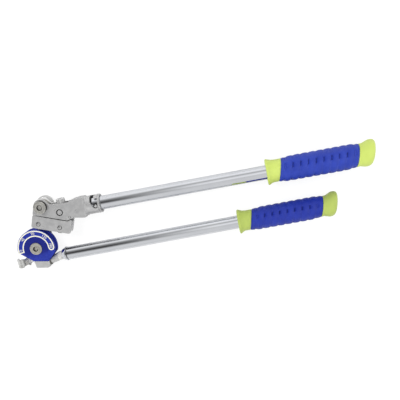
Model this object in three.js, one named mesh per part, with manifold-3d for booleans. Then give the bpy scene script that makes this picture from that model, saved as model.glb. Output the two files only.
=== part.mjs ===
// A two-roller hand tube bender, lying on its back on a bench. Millimetres, +Z up.
// The origin is where the former's pivot axis meets the bench, and +X runs along the lower handle.
// Inside the group the pieces are built about the plane that both handle axes lie in.
import * as THREE from "three";
import { mergeVertices } from "three/addons/utils/BufferGeometryUtils.js";
import Module from "manifold-3d";

const wasm = await Module();
wasm.setup();

const DEG = Math.PI / 180;

// The tube that is bent, and the clearances that all pieces share
const tubeDiameter = 8;
const bendRadius = 24; // to the tube's centre line
const fit = 0.3; // between pieces that touch or turn on each other
const grooveEase = 0.1; // groove radius over the tube's
const overrun = 2; // how far a cutting solid runs past the face it cuts
const weld = 1e-4; // points closer than this are one point

// Where the head stands: the scale reading, and the upper handle's small tilt to the lower one
const bendReading = 110.5 * DEG;
const handleTilt = -0.5 * DEG;

// Former: a grooved disc with three flats below
const formerWidth = 13.5;
const rimChamfer = 0.6;
const leftFlat = 16.2; // distance of each flat from the pivot axis
const bottomFlat = 16.2;
const rightFlat = 21.5;
const leftFlatTurn = -130 * DEG; // direction that each flat faces
const bottomFlatTurn = -100 * DEG;
const rightFlatTurn = -48 * DEG;

// Pivot bolt through former and link, with its nut on the bench side
const pivotRadius = 4;
const hubRadius = 7.6;
const hubHeight = 2.6;
const hubSink = 1.3; // how deep the bolt's head sits in the former's face
const hubRingRadius = 4.7; // raised ring round the socket
const hubRingHeight = 0.5;
const pivotSocket = 5; // hexagon across flats
const pivotSocketDepth = 2.2;
const pivotNutFlats = 13;
const shimRadius = 9;
const shimThickness = 0.4;

// Block under the former, turned with the former's bottom flat
const blockHeight = 9.2;
const blockLength = 26.2; // from its left corner to the end of its neck
const blockLeft = 5; // its left corner, behind the pivot axis
const blockWidth = 12.5;
const blockBevel = 0.6;
const blockFootShares = [
  [0.13, 0],
  [0.664, 0],
  [0.779, 0.163],
  [0.931, 0.609],
  [1, 1.41],
  [0.939, 1.62],
]; // along the length and up from the foot, in block lengths and heights
const blockScrewRadius = 1.5;
const blockScrewHead = 2.75;
const blockScrewHeadHeight = 3;
const blockScrewGrip = 5; // length of thread in the former
const blockScrewShares = [0.25, 0.56]; // places along the block

// Shank and ferrule between block and lower handle
const handleDrop = 14.9; // lower handle axis below the pivot axis
const ferruleStart = 29.5; // from the pivot axis along the handle
const ferruleCone = 4.7;
const ferruleNose = 6.2;
const collarWidth = 1.6;
const collarRise = 0.6; // over the tube
const spigotLength = 14;
const shankRun = 16.5;
const shankRise = 4.6;
const shankThin = 4.4;
const shankThick = 5.6;
const shankCore = 5.2;
const shankShort = 1.9; // the cone stops this far before the ferrule
const stubLength = 12;

// Handle tubes
const lowerTubeRadius = 8;
const upperTubeRadius = 8.5;
const tubeWall = 1.5;
const lowerTubeEnd = 366;
const upperTubeEnd = 397; // from the yoke pivot

// Grips: a moulded core with a flared collar and a round end, and a ribbed sleeve over it
const lowerGripStart = 252.5;
const lowerGripLength = 118.5;
const lowerFlareRadius = 14.7;
const lowerSleeveStart = 15.6; // from the grip's own start
const lowerSleeveLength = 85.5;
const lowerCrestRadius = 13.7;
const upperGripStart = 276.4; // from the yoke pivot
const upperGripLength = 125.6;
const upperFlareRadius = 15.5;
const upperSleeveStart = 16.1;
const upperSleeveLength = 90.8;
const upperCrestRadius = 14.85;
const sleeveWall = 2.6;
const waistDrop = 0.9; // how far the sleeve's ends draw in
const flareShares = [
  [0, 0.55],
  [0.05, 1],
  [0.12, 0.97],
  [0.24, 0.6],
  [0.38, 0.22],
  [0.56, 0],
]; // along the collar, and how much of the flare stands over the waist there
const bulbShares = [
  [0.22, 0],
  [0.42, 0.55],
  [0.56, 0.92],
  [0.66, 1],
]; // the same along the round end
const endShares = [
  [0.8, 0.985],
  [0.91, 0.92],
  [0.98, 0.8],
  [1, 0.6],
]; // along the round end, and the radius there as a share of the flare's
const ribPitch = 8.95;
const ribMargin = 4; // least plain length at each end of the sleeve
const ribDepth = 0.8;
const ribShares = [
  [0, 1],
  [0.16, 0.3],
  [0.5, 0],
  [0.84, 0.3],
]; // along one rib, and how deep under the crest
const sleeveEaseShares = [0.6, 0.3]; // along the plain end, and the drop that is left there

// Tube latch: a hook with two cheeks on a pin through a lug of the block
const latchPinX = -17.2;
const latchPinDrop = 3.2; // pin below the handles' plane
const latchPinRadius = 1.4;
const latchY = -16.2; // middle of the hook along the held tube
const latchWidth = 11.2;
const latchKnuckle = 3;
const latchLugWidth = 6.1;
const latchLugShift = 0.65; // the lug's middle over the hook's
const latchThickness = 2;
const latchEase = 0.4; // hook round the tube
const lugWebTop = 1;

// Roller bracket and its two rollers, and the line of their axles from the former's pivot axis
const rollerRadius = 7.8;
const rimGap = 0.4; // between the rollers' rims and the former's
const rollerLine = bendRadius + rimGap + rollerRadius;
const rollerPitch = 26.9;
const rollerHalf = 4.4;
const rollerChamfer = 0.3;
const axleRadius = 2;
const axleHead = 2.3;
const axleHeadHeight = 0.9;
const bracketHalf = 7.25;
const bracketWall = 2.5;
const webGap = 0.4; // between the rollers' rims and the bracket's web
const webThickness = 1.5;
const bracketTop = rollerLine + rollerRadius + webGap + webThickness;
const bracketLeft = 8.3; // past the near roller's axle
const bracketRight = 13.7; // past the far roller's axle
const bracketBelow = 6; // under the roller line
const bracketCorner = 2.4;

// Link behind the former, from the pivot axis to the yoke's pivot
const rockGap = 1.05; // between the yoke's arms and the roller bracket
const armDepth = 11.6; // the arms reach this far below the yoke pivot, square to the rollers
const yokePivotX = 1.3; // past the near roller's axle, along the rollers
const yokePivotY = bracketTop + rockGap + armDepth;
const linkLength = Math.hypot(yokePivotX, yokePivotY);
const linkThickness = 4.5;
const linkOffset = 7.75; // its front face behind the handles' plane
const linkFootRadius = 12.5;
const linkHeadRadius = 10.7;
const bushWall = 2;
const bushProud = 0.15;

// Yoke pivot: a large screw with its nut and a spacing sleeve
const yokeScrewRadius = 5;
const yokeScrewHead = 8;
const yokeScrewHeadHeight = 5;
const yokeScrewSocket = 5.2;
const yokeScrewSocketDepth = 3;
const yokeNutFlats = 15;
const yokeNutThickness = 2.65;
const spacerWall = 1.9;

// Yoke: fork, body and socket in one casting
const yokeFront = 8; // front face of the near arm
const yokeBack = 7.25; // rear face of the far arm
const slotHalf = 3.9;
const armEndRadius = 9.3;
const yokeReach = 54.5; // from the pivot to the end of the body, where the socket begins
const yokeHeight = 24;
const yokeTopShares = [
  [1, 0],
  [0.969, 0.083],
  [0.883, 0.104],
  [0.756, 0.071],
  [0.657, 0.005],
  [0.578, -0.031],
  [0.506, -0.028],
  [0.19, 0.03],
];
const yokeFloorShares = [
  [0.666, -0.85],
  [0.93, -0.958],
  [1, -0.89],
];
const yokeCorner = 2.4;
const armTailLength = 9.3; // how far the arms run past the pivot, along the rollers
const armFloorLength = 33.9; // from the pivot to where the arms' underside turns up
const armSlantLength = 6.1;
const armSlantTurn = 14 * DEG;
const slotEndShare = 0.673;
const bridgeShares = [0.3, 0.573];
const bridgeUnderside = 4.6; // below the yoke pivot
const shoulderLength = 4; // the body thickens over this before the socket
const shoulderHalf = 10.5; // half its thickness at the socket
const handleOffset = 9.7; // upper handle axis below the yoke pivot
const socketRadius = 11.4;
const socketLength = 18.6; // from the end of the body
const socketDepth = 12.3; // of the bore, from the socket's mouth
const mouthBead = 0.2;
const mouthBeadWidth = 2;
const mouthBevel = 1.5;
const windowInset = 2.6; // the window's end behind the socket's mouth
const windowLength = 9.2;
const windowShares = [
  [0, 1.2],
  [0, 0.456],
  [0.25, -0.026],
  [0.51, -0.325],
  [0.9, -0.27],
  [1, 0.15],
  [1, 0.69],
  [0.51, 0.69],
  [0.51, 1.2],
]; // along the window, and off the handle's axis in socket radii
const tubeInset = 10.2; // the upper tube goes this far into the socket
const buttonAlong = 6.1; // from the window's start
const buttonTurn = -6 * DEG;
const buttonRadius = 2;
const buttonProud = 1.9;
const buttonFlange = 1;
const buttonFlangeThickness = 0.8;

// Stop screw through the yoke's bridge
const stopScrewX = 23.6;
const stopScrewRadius = 2.6;
const stopScrewHead = 5.3;
const stopScrewHeadHeight = 6.1;
const stopScrewSocket = 4;
const stopSeatDrop = 1.4; // the head's seat below the yoke pivot

// Middle pin that the roller bracket rocks on, placed from the yoke pivot along the rollers
const midPinAlong = 23.8;
const midPinBelow = 3;
const midPinRadius = 3;
const midPinHead = 4;
const midPinHeadHeight = 1.5;
const tongueEye = 5.6;
const tongueHalf = 3.5;

// Small pin across both arms, placed the same way
const crossPinAlong = 36.6;
const crossPinBelow = 6.8;
const crossPinRadius = 1.2;

// Facets
const fine = 48;
const medium = 28;
const coarse = 16;
const gripSides = 18;
const grooveSteps = 6;

// ---- shapes and solids ----

const point = (x, y) => new THREE.Vector2(x, y);
const polar = (radius, turn, cx = 0, cy = 0) =>
  point(cx + radius * Math.cos(turn), cy + radius * Math.sin(turn));

// Points of an arc about (cx, cy), both ends included
function arc(radius, from, to, steps, cx = 0, cy = 0) {
  return Array.from({ length: steps + 1 }, (_, i) =>
    polar(radius, from + ((to - from) * i) / steps, cx, cy),
  );
}

// Where two straight edges meet, each given by the direction it faces and its distance from the origin
function edgesMeet(turnA, distanceA, turnB, distanceB) {
  const cross = Math.sin(turnB - turnA);
  return point(
    (distanceA * Math.sin(turnB) - distanceB * Math.sin(turnA)) / cross,
    (distanceB * Math.cos(turnA) - distanceA * Math.cos(turnB)) / cross,
  );
}

// A closed outline whose corners are rounded: corners is a list of [point, radius]
function rounded(corners, steps = 3) {
  const out = [];
  corners.forEach(([corner, radius], i) => {
    if (!radius) {
      out.push(corner);
      return;
    }
    const before = corners[(i + corners.length - 1) % corners.length][0];
    const after = corners[(i + 1) % corners.length][0];
    const a = before.clone().sub(corner).normalize();
    const b = after.clone().sub(corner).normalize();
    const half = Math.acos(THREE.MathUtils.clamp(a.dot(b), -1, 1)) / 2;
    const centre = a.clone().add(b).normalize().multiplyScalar(radius / Math.sin(half)).add(corner);
    const start = a.clone().multiplyScalar(radius / Math.tan(half)).add(corner).sub(centre);
    const end = b.clone().multiplyScalar(radius / Math.tan(half)).add(corner).sub(centre);
    let sweep = end.angle() - start.angle();
    if (sweep > Math.PI) sweep -= 2 * Math.PI;
    if (sweep < -Math.PI) sweep += 2 * Math.PI;
    out.push(...arc(radius, start.angle(), start.angle() + sweep, steps, centre.x, centre.y));
  });
  return out;
}

// The outline round two circles, as a link plate has it
function strap(ax, ay, ar, bx, by, br, steps = 16) {
  const turn = Math.atan2(by - ay, bx - ax);
  const lean = Math.acos((ar - br) / Math.hypot(bx - ax, by - ay));
  return [
    ...arc(ar, turn + lean, turn + 2 * Math.PI - lean, steps, ax, ay),
    ...arc(br, turn - lean, turn + lean, steps, bx, by),
  ];
}

// Any closed three.js geometry as a solid that can be joined and cut
function solidOf(geometry) {
  const bare = new THREE.BufferGeometry();
  bare.setAttribute("position", geometry.getAttribute("position"));
  if (geometry.index) bare.setIndex(geometry.index);
  const merged = mergeVertices(bare, weld);
  return new wasm.Manifold(
    new wasm.Mesh({
      numProp: 3,
      vertProperties: merged.attributes.position.array,
      triVerts: new Uint32Array(merged.index.array),
    }),
  );
}

// An outline drawn in XY and raised from one height to another, with an optional bevel on both rims
function prism(outline, from, to, bevel = 0) {
  const shape = new THREE.Shape(outline);
  const geometry = new THREE.ExtrudeGeometry(shape, {
    depth: to - from - 2 * bevel,
    bevelEnabled: bevel > 0,
    bevelThickness: bevel,
    bevelSize: bevel,
    bevelOffset: -bevel,
    bevelSegments: 1,
    steps: 1,
  });
  geometry.translate(0, 0, from + bevel);
  return geometry;
}

// A profile of [radius, height] revolved about Z, X or Y
function revolved(profile, segments, axis = "z") {
  const geometry = new THREE.LatheGeometry(
    profile.map(([radius, height]) => point(radius, height)),
    segments,
  );
  if (axis === "z") geometry.rotateX(Math.PI / 2);
  if (axis === "x") geometry.rotateZ(-Math.PI / 2);
  return geometry;
}

// A plain pin or bore about an axis, from one height to another
function pin(radius, from, to, segments = coarse, axis = "z") {
  return revolved([[0, from], [radius, from], [radius, to], [0, to]], segments, axis);
}

// A ring with a bore
function ring(outer, inner, from, to, segments = medium, axis = "z") {
  return revolved(
    [[inner, from], [outer, from], [outer, to], [inner, to], [inner, from]],
    segments,
    axis,
  );
}

// A hexagon across its flats, raised like a prism
function hexagon(flats, from, to) {
  const corners = Array.from({ length: 6 }, (_, i) =>
    polar(flats / 2 / Math.cos(30 * DEG), (i * 60 + 12) * DEG),
  );
  return prism(corners, from, to);
}

// The half round groove of former and rollers, as profile points [radius, height], bottom to top.
// The groove's own centre lies at centreRadius, and its lips reach rimRadius.
function grooveProfile(rimRadius, centreRadius, steps) {
  const groove = tubeDiameter / 2 + grooveEase;
  const lip = Math.acos((centreRadius - rimRadius) / groove);
  return arc(groove, Math.PI + lip, Math.PI - lip, steps, centreRadius, 0).map((p) => [p.x, p.y]);
}

const moved = (geometry, x, y, z = 0) => geometry.clone().translate(x, y, z);

// ---- looks and assembly ----

const look = (color, roughness, metalness) =>
  new THREE.MeshStandardMaterial({ color, roughness, metalness });
const looks = {
  former: look(0x1c1f9e, 0.4, 0.1),
  sleeve: look(0x2a3fc0, 0.55, 0),
  core: look(0xc6e06a, 0.45, 0),
  chrome: look(0xd8d9dc, 0.12, 1),
  casting: look(0xadaeb0, 0.45, 0.6),
  block: look(0xb9b9b6, 0.5, 0.5),
  steel: look(0x9c9c96, 0.4, 0.9),
  brass: look(0xb89a4a, 0.35, 1),
};

// A named mesh from a solid, added to its group
function add(group, name, solid, material) {
  const made = solid.getMesh();
  const geometry = new THREE.BufferGeometry();
  geometry.setAttribute("position", new THREE.BufferAttribute(made.vertProperties, 3));
  geometry.setIndex(new THREE.BufferAttribute(made.triVerts, 1));
  geometry.computeVertexNormals();
  const mesh = new THREE.Mesh(geometry, material);
  mesh.name = name;
  group.add(mesh);
  return mesh;
}

const part = new THREE.Group();
const tool = new THREE.Group(); // its plane z = 0 holds both handle axes
tool.position.z = upperFlareRadius;
part.add(tool);
const bench = -upperFlareRadius; // the bench's height in that frame

// ---- former, pivot bolt and nut ----

const formerFront = formerWidth / 2;
const hubSeat = formerFront - hubSink;
const boltHole = pivotRadius + fit;

// The former's outline between its flats, grown by extra, with its round part at the given radius
function formerOutline(radius, extra) {
  const rightEdge = rightFlatTurn + Math.acos((rightFlat + extra) / radius);
  const leftEdge = leftFlatTurn - Math.acos((leftFlat + extra) / radius) + 2 * Math.PI;
  return [
    ...arc(radius, rightEdge, leftEdge, fine / 2),
    edgesMeet(leftFlatTurn, leftFlat + extra, bottomFlatTurn, bottomFlat + extra),
    edgesMeet(bottomFlatTurn, bottomFlat + extra, rightFlatTurn, rightFlat + extra),
  ];
}

function makeFormer() {
  const turned = solidOf(
    revolved(
      [
        [boltHole, -formerFront],
        [bendRadius - rimChamfer, -formerFront],
        [bendRadius, -formerFront + rimChamfer],
        ...grooveProfile(bendRadius, bendRadius, grooveSteps),
        [bendRadius, formerFront - rimChamfer],
        [bendRadius - rimChamfer, formerFront],
        [hubRadius + fit, formerFront],
        [hubRadius + fit, hubSeat],
        [boltHole, hubSeat],
        [boltHole, -formerFront],
      ],
      fine,
    ),
  );
  const outline = formerOutline(bendRadius + overrun, 0);
  return turned.intersect(
    solidOf(prism(outline, -formerFront - overrun, formerFront + overrun)),
  );
}

const boltHeadTop = hubSeat + hubHeight;
const boltProfile = [
  [0, bench],
  [pivotRadius, bench],
  [pivotRadius, hubSeat + fit],
  [hubRadius, hubSeat + fit],
  [hubRadius, boltHeadTop - rimChamfer],
  [hubRadius - rimChamfer, boltHeadTop],
  [hubRingRadius, boltHeadTop],
  [hubRingRadius, boltHeadTop + hubRingHeight],
  [0, boltHeadTop + hubRingHeight],
];
const boltTop = boltHeadTop + hubRingHeight;
const bolt = solidOf(revolved(boltProfile, medium)).subtract(
  solidOf(hexagon(pivotSocket, boltTop - pivotSocketDepth, boltTop + overrun)),
);
add(tool, "pivot_bolt", bolt, looks.steel);

const linkBack = -linkOffset - linkThickness;
const nutFace = linkBack - bushProud - 2 * fit;
const nut = solidOf(hexagon(pivotNutFlats, bench, nutFace)).subtract(
  solidOf(pin(boltHole, bench - overrun, nutFace + overrun)),
);
add(tool, "pivot_nut", nut, looks.steel);

const shimTop = -formerFront - fit;
add(
  tool,
  "pivot_shim",
  solidOf(ring(shimRadius, boltHole, shimTop - shimThickness, shimTop)),
  looks.brass,
);

// ---- block with shank and latch lug, and the screws that hold the former to it ----

const blockTurn = bottomFlatTurn + 90 * DEG;
const blockTop = -bottomFlat - fit;
const blockFoot = -bottomFlat - blockHeight;

function makeBlock() {
  const foot = blockFootShares.map(([along, up]) =>
    point(along * blockLength - blockLeft, blockFoot + up * blockHeight),
  );
  const outline = [
    point(-blockLeft, blockTop),
    ...foot,
    edgesMeet(-90 * DEG, bottomFlat + fit, rightFlatTurn - blockTurn, rightFlat + fit),
  ];
  const body = solidOf(
    prism(outline, -blockWidth / 2, blockWidth / 2, blockBevel).rotateZ(blockTurn),
  );

  // The shank leans from the block up to the handle's axis and ends in a stub inside the ferrule
  const lean = Math.atan2(shankRise, shankRun);
  const reach = Math.hypot(shankRun, shankRise);
  const cone = revolved(
    [
      [0, -reach],
      [shankThin, -reach],
      [shankThick, -shankShort],
      [0, -shankShort],
    ],
    coarse,
    "x",
  ).rotateZ(lean);
  const elbow = new THREE.SphereGeometry(shankCore, coarse, coarse / 2).rotateX(Math.PI / 2);
  const stub = pin(shankCore, 0, stubLength, coarse, "x");
  const shank = [cone, elbow, stub]
    .map((g) => solidOf(moved(g, ferruleStart, -handleDrop)))
    .reduce((a, b) => a.add(b));

  // Lug for the latch's pin: a knuckle about an axis along the held tube
  const lugOutline = [
    ...arc(latchKnuckle, 20 * DEG, 270 * DEG, 14),
    point(-latchPinX - blockLeft, -latchKnuckle),
    point(-latchPinX - blockLeft, lugWebTop),
    point(latchKnuckle, lugWebTop),
  ];
  const lug = solidOf(
    prism(lugOutline, -latchLugWidth / 2, latchLugWidth / 2)
      .rotateX(Math.PI / 2)
      .translate(latchPinX, latchY + latchLugShift, -latchPinDrop),
  );
  const clear = prism(formerOutline(bendRadius + fit, fit), -blockWidth, blockWidth);
  return body.add(shank).add(lug).subtract(solidOf(clear));
}

// One screw from the block's foot into the former, and the bore it stands in
function blockScrew(share, extra) {
  const along = share * blockLength - blockLeft;
  const seat = blockFoot + blockScrewHeadHeight;
  const tip = -bottomFlat + blockScrewGrip + extra;
  return revolved(
    [
      [0, blockFoot + (extra ? -overrun : fit)],
      [blockScrewHead + extra, blockFoot + (extra ? -overrun : fit)],
      [blockScrewHead + extra, seat + extra],
      [blockScrewRadius + extra, seat + extra],
      [blockScrewRadius + extra, tip],
      [0, tip],
    ],
    coarse,
    "y",
  )
    .translate(along, 0, 0)
    .rotateZ(blockTurn);
}

let former = makeFormer();
let block = makeBlock();
blockScrewShares.forEach((share, i) => {
  const bore = solidOf(blockScrew(share, fit));
  former = former.subtract(bore);
  block = block.subtract(bore);
  add(tool, ["former_screw_left", "former_screw_right"][i], solidOf(blockScrew(share, 0)), looks.steel);
});
const latchBore = solidOf(
  pin(latchPinRadius + fit, -latchWidth, latchWidth, coarse, "y").translate(
    latchPinX,
    latchY,
    -latchPinDrop,
  ),
);
add(tool, "former_wheel", former, looks.former);
add(tool, "former_block", block.subtract(latchBore), looks.block);

// ---- tube latch ----

add(
  tool,
  "latch_pin",
  solidOf(
    pin(latchPinRadius, -latchWidth / 2, latchWidth / 2, coarse, "y").translate(
      latchPinX,
      latchY,
      -latchPinDrop,
    ),
  ),
  looks.steel,
);

function makeLatch() {
  const inner = tubeDiameter / 2 + latchEase;
  const outer = inner + latchThickness;
  const cx = -bendRadius - latchPinX;
  const cz = latchPinDrop;
  const outline = [
    ...arc(outer, 200 * DEG, 15 * DEG, 14, cx, cz),
    ...arc(latchKnuckle, 40 * DEG, -130 * DEG, 12),
    ...arc(inner, -30 * DEG, 200 * DEG, 14, cx, cz),
  ];
  const lay = (geometry) => geometry.rotateX(Math.PI / 2).translate(latchPinX, latchY, -latchPinDrop);
  const hook = solidOf(lay(prism(outline, -latchWidth / 2, latchWidth / 2)));
  const clear = latchKnuckle + 2 * fit;
  const slotHalfWidth = latchLugWidth / 2 + fit;
  const slotOutline = [
    ...arc(clear, 90 * DEG, 270 * DEG, 12),
    point(clear + overrun, -clear),
    point(clear + overrun, clear),
  ];
  const slot = lay(prism(slotOutline, -slotHalfWidth, slotHalfWidth));
  return hook.subtract(solidOf(moved(slot, 0, latchLugShift))).subtract(latchBore);
}
add(tool, "tube_latch", makeLatch(), looks.steel);

// ---- lower handle ----

const collarEnd = ferruleStart + ferruleCone + collarWidth;
const tubeBore = (radius) => radius - tubeWall;
const ferrule = revolved(
  [
    [shankCore + fit, ferruleStart],
    [ferruleNose, ferruleStart],
    [lowerTubeRadius, ferruleStart + ferruleCone],
    [lowerTubeRadius + collarRise, ferruleStart + ferruleCone],
    [lowerTubeRadius + collarRise, collarEnd],
    [tubeBore(lowerTubeRadius) - fit, collarEnd],
    [tubeBore(lowerTubeRadius) - fit, collarEnd + spigotLength],
    [shankCore + fit, collarEnd + spigotLength],
    [shankCore + fit, ferruleStart],
  ],
  medium,
  "x",
);
add(tool, "lower_ferrule", solidOf(moved(ferrule, 0, -handleDrop)), looks.chrome);
add(
  tool,
  "lower_handle_tube",
  solidOf(
    moved(
      ring(lowerTubeRadius, tubeBore(lowerTubeRadius), collarEnd + fit, lowerTubeEnd, medium, "x"),
      0,
      -handleDrop,
    ),
  ),
  looks.chrome,
);

// The core of a grip: flared collar, a seat for the sleeve, a waist and a round end.
// bore is the tube's radius, and tubeEnd is where the tube stops inside.
function gripCore(start, length, flare, sleeveStart, sleeveLength, crest, bore, tubeEnd) {
  const seat = crest - sleeveWall;
  const waist = crest - waistDrop;
  const end = length - sleeveStart - sleeveLength;
  const over = (share) => waist + share * (flare - waist);
  return revolved(
    [
      [bore + fit, 0],
      ...flareShares.map(([along, share]) => [over(share), along * sleeveStart]),
      [waist, sleeveStart - fit],
      [seat, sleeveStart - fit],
      [seat, sleeveStart + sleeveLength + fit],
      [waist, sleeveStart + sleeveLength + fit],
      ...bulbShares.map(([along, share]) => [over(share), length - (1 - along) * end]),
      ...endShares.map(([along, share]) => [share * flare, length - (1 - along) * end]),
      [0, length],
      [0, tubeEnd + fit - start],
      [bore + fit, tubeEnd + fit - start],
      [bore + fit, 0],
    ],
    gripSides,
    "x",
  ).translate(start, 0, 0);
}

// The ribbed sleeve: as many round ribs as fit between its two plain ends, which draw in
function gripSleeve(start, length, crest) {
  const bore = crest - sleeveWall + fit;
  const ribs = Math.floor((length - 2 * ribMargin) / ribPitch);
  const plain = (length - ribs * ribPitch) / 2;
  const [easeAlong, easeDrop] = sleeveEaseShares;
  const profile = [
    [bore, 0],
    [crest - waistDrop, 0],
    [crest - easeDrop * waistDrop, easeAlong * plain],
  ];
  for (let rib = 0; rib < ribs; rib++)
    for (const [share, depth] of ribShares)
      profile.push([crest - depth * ribDepth, plain + (rib + share) * ribPitch]);
  profile.push(
    [crest - ribDepth, length - plain],
    [crest - easeDrop * waistDrop, length - easeAlong * plain],
    [crest - waistDrop, length],
    [bore, length],
    [bore, 0],
  );
  return revolved(profile, gripSides, "x").translate(start, 0, 0);
}

add(
  tool,
  "lower_grip_core",
  solidOf(
    moved(
      gripCore(
        lowerGripStart,
        lowerGripLength,
        lowerFlareRadius,
        lowerSleeveStart,
        lowerSleeveLength,
        lowerCrestRadius,
        lowerTubeRadius,
        lowerTubeEnd,
      ),
      0,
      -handleDrop,
    ),
  ),
  looks.core,
);
add(
  tool,
  "lower_grip_sleeve",
  solidOf(
    moved(
      gripSleeve(lowerGripStart + lowerSleeveStart, lowerSleeveLength, lowerCrestRadius),
      0,
      -handleDrop,
    ),
  ),
  looks.sleeve,
);

// ---- head: link, yoke and roller bracket share one frame, turned to the scale reading ----
// In it the tube's free end runs along +X, under the rollers, and the link stands along +Y.

const head = new THREE.Group();
head.rotation.z = 90 * DEG - bendReading;
tool.add(head);
const atYokePivot = (geometry) => solidOf(moved(geometry, yokePivotX, yokePivotY));

// The link is a strap drawn along +X from the former's axis and turned up to the yoke's pivot
const bushRadius = boltHole + bushWall;
const linkOutline = strap(0, 0, linkFootRadius, linkLength, 0, linkHeadRadius);
const linkTurn = Math.atan2(yokePivotY, yokePivotX);
const link = solidOf(prism(linkOutline, linkBack, -linkOffset).rotateZ(linkTurn))
  .subtract(solidOf(pin(bushRadius + fit, linkBack - overrun, -linkOffset + overrun, medium)))
  .subtract(
    atYokePivot(pin(yokeScrewRadius + fit, linkBack - overrun, -linkOffset + overrun, medium)),
  );
add(head, "rear_link", link, looks.casting);
add(
  head,
  "link_bush",
  solidOf(ring(bushRadius, boltHole, linkBack - bushProud, -linkOffset + bushProud)),
  looks.brass,
);

const screwSeat = yokeFront + fit;
const screwTop = screwSeat + yokeScrewHeadHeight;
const yokeNutFace = linkBack - fit;
const yokeNutEnd = yokeNutFace - yokeNutThickness;
const yokeScrew = atYokePivot(
  revolved(
    [
      [0, yokeNutEnd],
      [yokeScrewRadius, yokeNutEnd],
      [yokeScrewRadius, screwSeat],
      [yokeScrewHead, screwSeat],
      [yokeScrewHead, screwTop - rimChamfer],
      [yokeScrewHead - rimChamfer, screwTop],
      [0, screwTop],
    ],
    medium,
  ),
).subtract(
  atYokePivot(hexagon(yokeScrewSocket, screwTop - yokeScrewSocketDepth, screwTop + overrun)),
);
add(head, "yoke_screw", yokeScrew, looks.steel);
const yokeNut = atYokePivot(hexagon(yokeNutFlats, yokeNutEnd, yokeNutFace)).subtract(
  atYokePivot(pin(yokeScrewRadius + fit, yokeNutEnd - overrun, yokeNutFace + overrun, medium)),
);
add(head, "yoke_nut", yokeNut, looks.steel);
const spacerBore = yokeScrewRadius + fit;
const spacer = ring(spacerBore + spacerWall, spacerBore, -slotHalf + fit, slotHalf - fit);
add(head, "yoke_spacer", atYokePivot(spacer), looks.steel);

// ---- yoke with the upper handle, about the yoke pivot, +X along the handle ----

const yokeFrame = new THREE.Group();
yokeFrame.position.set(yokePivotX, yokePivotY, 0);
yokeFrame.rotation.z = handleTilt - head.rotation.z;
head.add(yokeFrame);
const rollersTurn = -yokeFrame.rotation.z; // direction of the rollers' line in the yoke's frame

// A point given along and across the rollers' line from the yoke pivot, in the yoke's frame
const alongRollers = (along, across) => point(along, across).rotateAround(point(0, 0), rollersTurn);
const inYoke = ([x, y]) => point(x * yokeReach, y * yokeHeight);
const midPin = alongRollers(midPinAlong, -midPinBelow);
const crossPin = alongRollers(crossPinAlong, -crossPinBelow);
const armCorner = alongRollers(armFloorLength, -armDepth);
const shoulderStart = yokeReach - shoulderLength;
const socketMouth = yokeReach + socketLength;
const windowStart = socketMouth - windowInset - windowLength;

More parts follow.
